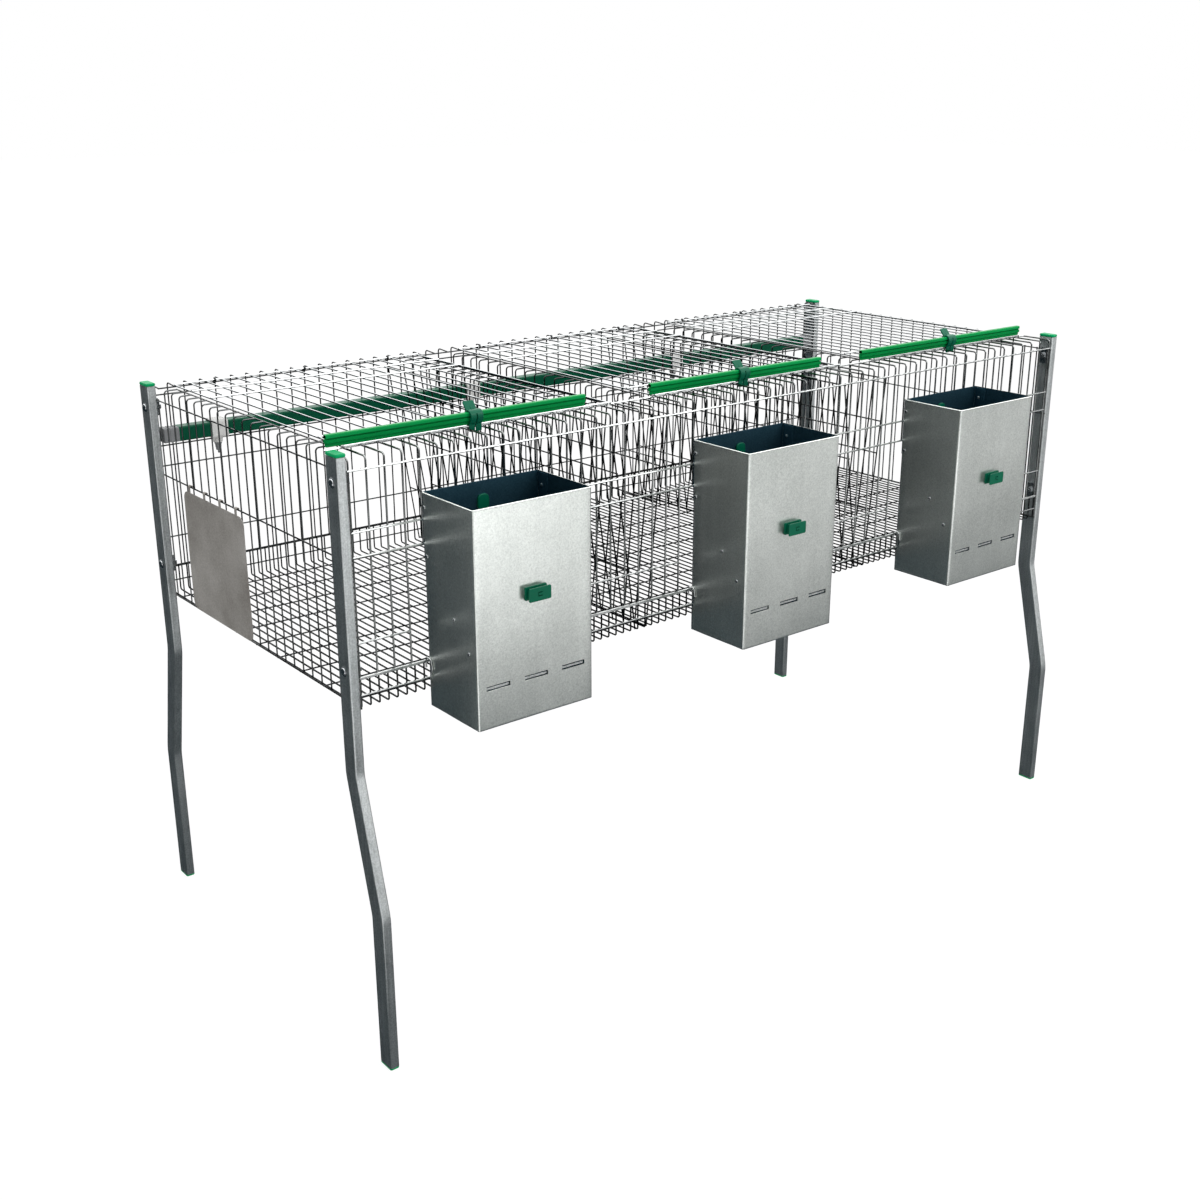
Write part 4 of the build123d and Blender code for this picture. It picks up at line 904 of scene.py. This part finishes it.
def water_line():
    """Square pipe with ribbed end fittings, and in each bay a C-shaped saddle with a boss and a bored
    nipple."""
    section = rounded(24.0, 24.0, 3.0, 5)
    path = along_x(np.linspace(-PIPE_END, PIPE_END, 30), PIPE_Y, PIPE_Z)
    pipe = Form().add(carry(section, path, Y))
    pipe.piece("green_pipe", "frame", "dark_green_pipe", [PIPE_GREEN], "water_pipe")
    fittings, saddles, nipples = Form(), Form(), Form()
    ribs = np.array([(-18.0, 0.78), (-17.5, 0.82), (0.0, 0.82), (0.05, 0.98), (0.5, 1.0), (5.0, 1.0),
                     (5.6, 0.93), (8.0, 0.93), (8.6, 1.0), (15.0, 1.0), (15.6, 0.93), (18.0, 0.93),
                     (18.6, 1.0), (25.0, 1.0), (26.0, 0.93)])
    for side in (-1, 1):
        path = along_x(side * (PIPE_END + ribs[:, 0]), PIPE_Y, PIPE_Z)
        fittings.add(carry(section, path, Y, ribs[:, 1]))
    line = bent([(12.0, 13.6), (-13.6, 13.6), (-13.6, -13.6), (12.0, -13.6)], 3.0, 5) + [PIPE_Y, PIPE_Z]
    boss = [(0.05, 10.0), (8.6, 10.0), (8.4, 8.0), (8.0, 6.5), (8.0, 0.6), (7.5, 0.0), (5.2, 0.0), (5.2, 6.2),
            (0.05, 6.2)]
    nipple = [(0.05, 6.0), (5.0, 6.0), (5.0, 0.0), (6.2, -0.2), (6.2, -3.2), (5.2, -3.8), (5.0, -9.0),
              (4.6, -9.4), (4.4, -12.6), (3.6, -14.0), (2.1, -14.0), (2.0, -3.9), (3.0, -3.7), (3.0, 2.0),
              (0.05, 2.0)]
    for x in DRINKER_X:
        saddles.add(carry(rounded(28.0, 3.0, 0.8, 3), at_x(x, line), X))
        foot = (x, PIPE_Y, PIPE_Z - 24.1)
        saddles.add(lathe(boss, foot, Z))
        nipples.add(lathe(nipple, foot, Z))
    fittings.piece("pipe_ends", "frame", "grey_plastic", [DRINKER_GREY], "pipe_end_fittings")
    saddles.piece("pipe_saddles", "frame", "white_plastic", [SADDLE_WHITE], "drinker_saddles")
    nipples.piece("nipple_bodies", "frame", "grey_plastic", [DRINKER_GREY], "drinker_nipples")


def nest_plate():
    """Sheet with round corners over the nest opening, and four tongues curled round the wall's wire."""
    form = Form()
    half_y, half_z, inner = 107.0, 99.0, 1.906
    wire_z, tongue_x = END_ROWS[1], -END_X - inner - SHEET / 2
    u, v = np.linspace(-half_y, half_y, 55), np.linspace(-half_z, half_z, 51)

    def place(a, b, depth):
        in_a, in_b = round_off(a, b, half_y, half_z, 14.0)
        hollow = np.clip(0.5 * dent(a, b, 3) * np.clip((half_z - np.abs(b)) / 30, 0, 1), -0.4, 0.4)
        return np.stack([hollow - END_X - inner - SHEET + depth, in_a + NEST_Y, in_b + NEST_Z], -1)

    form.add(pierced(u, v, np.ones((54, 50), bool), place))
    gaps = (END_UPRIGHTS[:-1] + END_UPRIGHTS[1:]) / 2
    curl = arc((-END_X, wire_z), inner + SHEET / 2, 180, -70, 18)
    line = np.concatenate([[(tongue_x, wire_z - 13.0), (tongue_x, wire_z - 6.0)], curl])
    for step in range(4):
        wanted = NEST_Y + 2 * half_y * ((step + 0.5) / 4 - 0.5)
        y = gaps[np.argmin(np.abs(gaps - wanted))]
        path = np.column_stack([line[:, 0], np.full(len(line), y), line[:, 1]])
        form.add(carry(rounded(7.0, SHEET, 0.25, 2), path, Y))
    form.piece("nest_plate_sheet", "side_plate", "side_sheet", [PLATE], "side_plate")


# The cage put together
for make in (front_panel, rear_panel, floor_panel, cross_walls, legs, water_line, nest_plate):
    make()
for number, bay_name in enumerate(BAYS):
    for make in (lid, handle, latch, hopper, slot_screens, card_clip, hanger, wire_hooks):
        make(number, bay_name)

# Solids that show as they are, with a finish
PLAIN = {"leg_nuts": FASTENER, "leg_clamp_plates": FASTENER, "lid_hinge_rings": WIRE_ZINC}
# The feeders' back and baffle take the dark painted-shade finish of the hopper's inside.
BAY_PLAIN = {"feeder_back": HOPPER_PAINTED_SHADE, "feeder_baffle": HOPPER_PAINTED_SHADE, "feeder_rivets": FASTENER,
             "drinker_pin": FASTENER}
PLAIN.update({f"{bay_name}_{name}": used for bay_name in BAYS for name, used in BAY_PLAIN.items()})
for node_name, finish_used in PLAIN.items():
    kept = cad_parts[node_name].data.materials
    kept.clear()
    kept.append(finish_used)


# Stage

def flat(name, corners, material):
    """Flat stage card through four corners, in metres."""
    mesh = bpy.data.meshes.new(name)
    mesh.from_pydata(corners, [], [(0, 1, 2, 3)])
    mesh.materials.append(material)
    made = bpy.data.objects.new(name, mesh)
    bpy.context.scene.collection.objects.link(made)
    return made


def glow(name, strength, matt=None, tint=(1, 1, 1, 1)):
    """Light for a card. The floor adds a little of a matt surface to it, which keeps the shadows, and is matt
    alone for the rays that light the object."""
    material = bpy.data.materials.new(name)
    material.use_nodes = True
    tree = material.node_tree
    tree.nodes.clear()
    flow = Flow(tree, None)
    result = tree.nodes.new("ShaderNodeOutputMaterial")
    shine = flow.node("ShaderNodeEmission", {}, {"Color": tint, "Strength": strength})
    if matt is not None:
        dull = flow.node("ShaderNodeBsdfDiffuse", {}, {"Color": (matt, matt, matt, 1)})
        both = flow.node("ShaderNodeAddShader", {}, {0: shine, 1: dull})
        plain = flow.node("ShaderNodeBsdfDiffuse", {}, {"Color": (0.86, 0.86, 0.86, 1)})
        shine = flow.node("ShaderNodeMixShader", {}, {0: seen(tree), 1: plain, 2: both})
    tree.links.new(shine.socket, result.inputs["Surface"])
    material.cycles.emission_sampling = "NONE"
    return material


def seen(tree):
    """1 for the rays that show the backdrop: straight from the camera, or by way of metal or glass."""
    path = Flow(tree, None).node("ShaderNodeLightPath", {}, {}, "Is Camera Ray")
    rays = path.socket.node.outputs
    glossy, through = (Flow(tree, rays[f"Is {kind} Ray"]) for kind in ("Glossy", "Transmission"))
    return (path + glossy + through).clamp(0.0, 1.0)


def level_card(name, x0, y0, x1, y1, z, material):
    """Card that lies level between two corners."""
    return flat(name, [(x0, y0, z), (x1, y0, z), (x1, y1, z), (x0, y1, z)], material)


FAR, WIDE, LEFT, HIGH = 30.0, 9.0, -3.6, 3.4
BRIGHT = ((-0.6, -2.15), (-0.6, -4.5), (2.4, -4.5), (0.76, -2.15))
LEFT_SHADE = ((-3.0, 0.0), (WIDE, 0.0), (WIDE, HIGH), (-3.0, HIGH))
level_card("floor", -FAR, -FAR, FAR, FAR, 0.0, glow("floor_white", 0.9, 0.17))
LEVELS = {"half": 0.42, "mid": 0.85, "bright": 2.25, "near": 1.3, "sky": 2.6}
CARD = {level: glow(f"{level}_card", grey) for level, grey in LEVELS.items()}
CARD["shade"] = glow("shade_card", 0.03, tint=(0.1, 0.6, 0.85, 1))
cards = [
    level_card("ground_shade", -WIDE, -WIDE, WIDE, WIDE, 0.003, CARD["shade"]),
    level_card("front_half", 0.0, -5.0, 5.0, -1.38, 0.005, CARD["half"]),
    level_card("front_mid", 0.1, -5.0, 5.0, -2.5, 0.007, CARD["mid"]),
    flat("front_bright", [(x, y, 0.009) for x, y in BRIGHT], CARD["bright"]),
    level_card("middle_light", 1.2, -3.2, 2.2, -2.3, 0.008, CARD["near"]),
    level_card("near_light", -3.4, -4.5, -0.85, -0.6, 0.011, CARD["near"]),
    level_card("sky", -2.5, -5.0, 9.0, 13.0, 3.6, CARD["sky"]),
    flat("left_shade", [(LEFT, y, z) for y, z in LEFT_SHADE], CARD["shade"])]
for card in cards:
    card.visible_camera = card.visible_diffuse = card.visible_shadow = card.visible_transmission = False

world = bpy.data.worlds.new("studio")
world.use_nodes = True
bpy.context.scene.world = world
backdrop = world.node_tree.nodes["Background"]
backdrop.inputs["Color"].default_value = (1, 1, 1, 1)
world.node_tree.links.new((seen(world.node_tree) * 0.36 + 0.64).socket, backdrop.inputs["Strength"])


def lamp(name, place, target, size, power):
    """Soft square lamp that faces a point."""
    light = bpy.data.lights.new(name, "AREA")
    light.size, light.energy = size, power
    made = bpy.data.objects.new(name, light)
    back = unit(np.array(place, float) - np.array(target, float))
    right = unit(np.cross(Z, back))
    turn = np.eye(4)
    turn[:3, :3] = np.stack([right, np.cross(back, right), back], 1)
    turn[:3, 3] = place
    made.matrix_world = Matrix(turn.tolist())
    bpy.context.scene.collection.objects.link(made)


lamp("key", (1.3, -2.7, 3.0), (0, 0, 0.6), 2.4, 46.0)
lamp("top", (-0.4, 0.3, 3.6), (0, 0, 0.8), 2.0, 22.0)

# Camera at the photograph's angle
AZIMUTH, ELEVATION, ROLL = (math.radians(angle) for angle in (-38.4582, 19.2237, -0.1401))
EYE = (-1.6491, -1.9302, 1.3548)
right = np.array([math.cos(AZIMUTH), math.sin(AZIMUTH), 0.0])
back = np.array([math.sin(AZIMUTH) * math.cos(ELEVATION), -math.cos(AZIMUTH) * math.cos(ELEVATION),
                 math.sin(ELEVATION)])
up = np.cross(back, right)
pose = np.eye(4)
pose[:3, 0] = math.cos(ROLL) * right + math.sin(ROLL) * up
pose[:3, 1] = math.cos(ROLL) * up - math.sin(ROLL) * right
pose[:3, 2] = back
pose[:3, 3] = EYE
lens = bpy.data.cameras.new("camera")
lens.sensor_fit, lens.sensor_width, lens.lens = "HORIZONTAL", 36.0, 44.0
lens.clip_end = 200.0
camera = bpy.data.objects.new("camera", lens)
camera.matrix_world = Matrix(pose.tolist())
bpy.context.scene.collection.objects.link(camera)
bpy.context.scene.camera = camera
bpy.context.scene.view_settings.view_transform = "Standard"
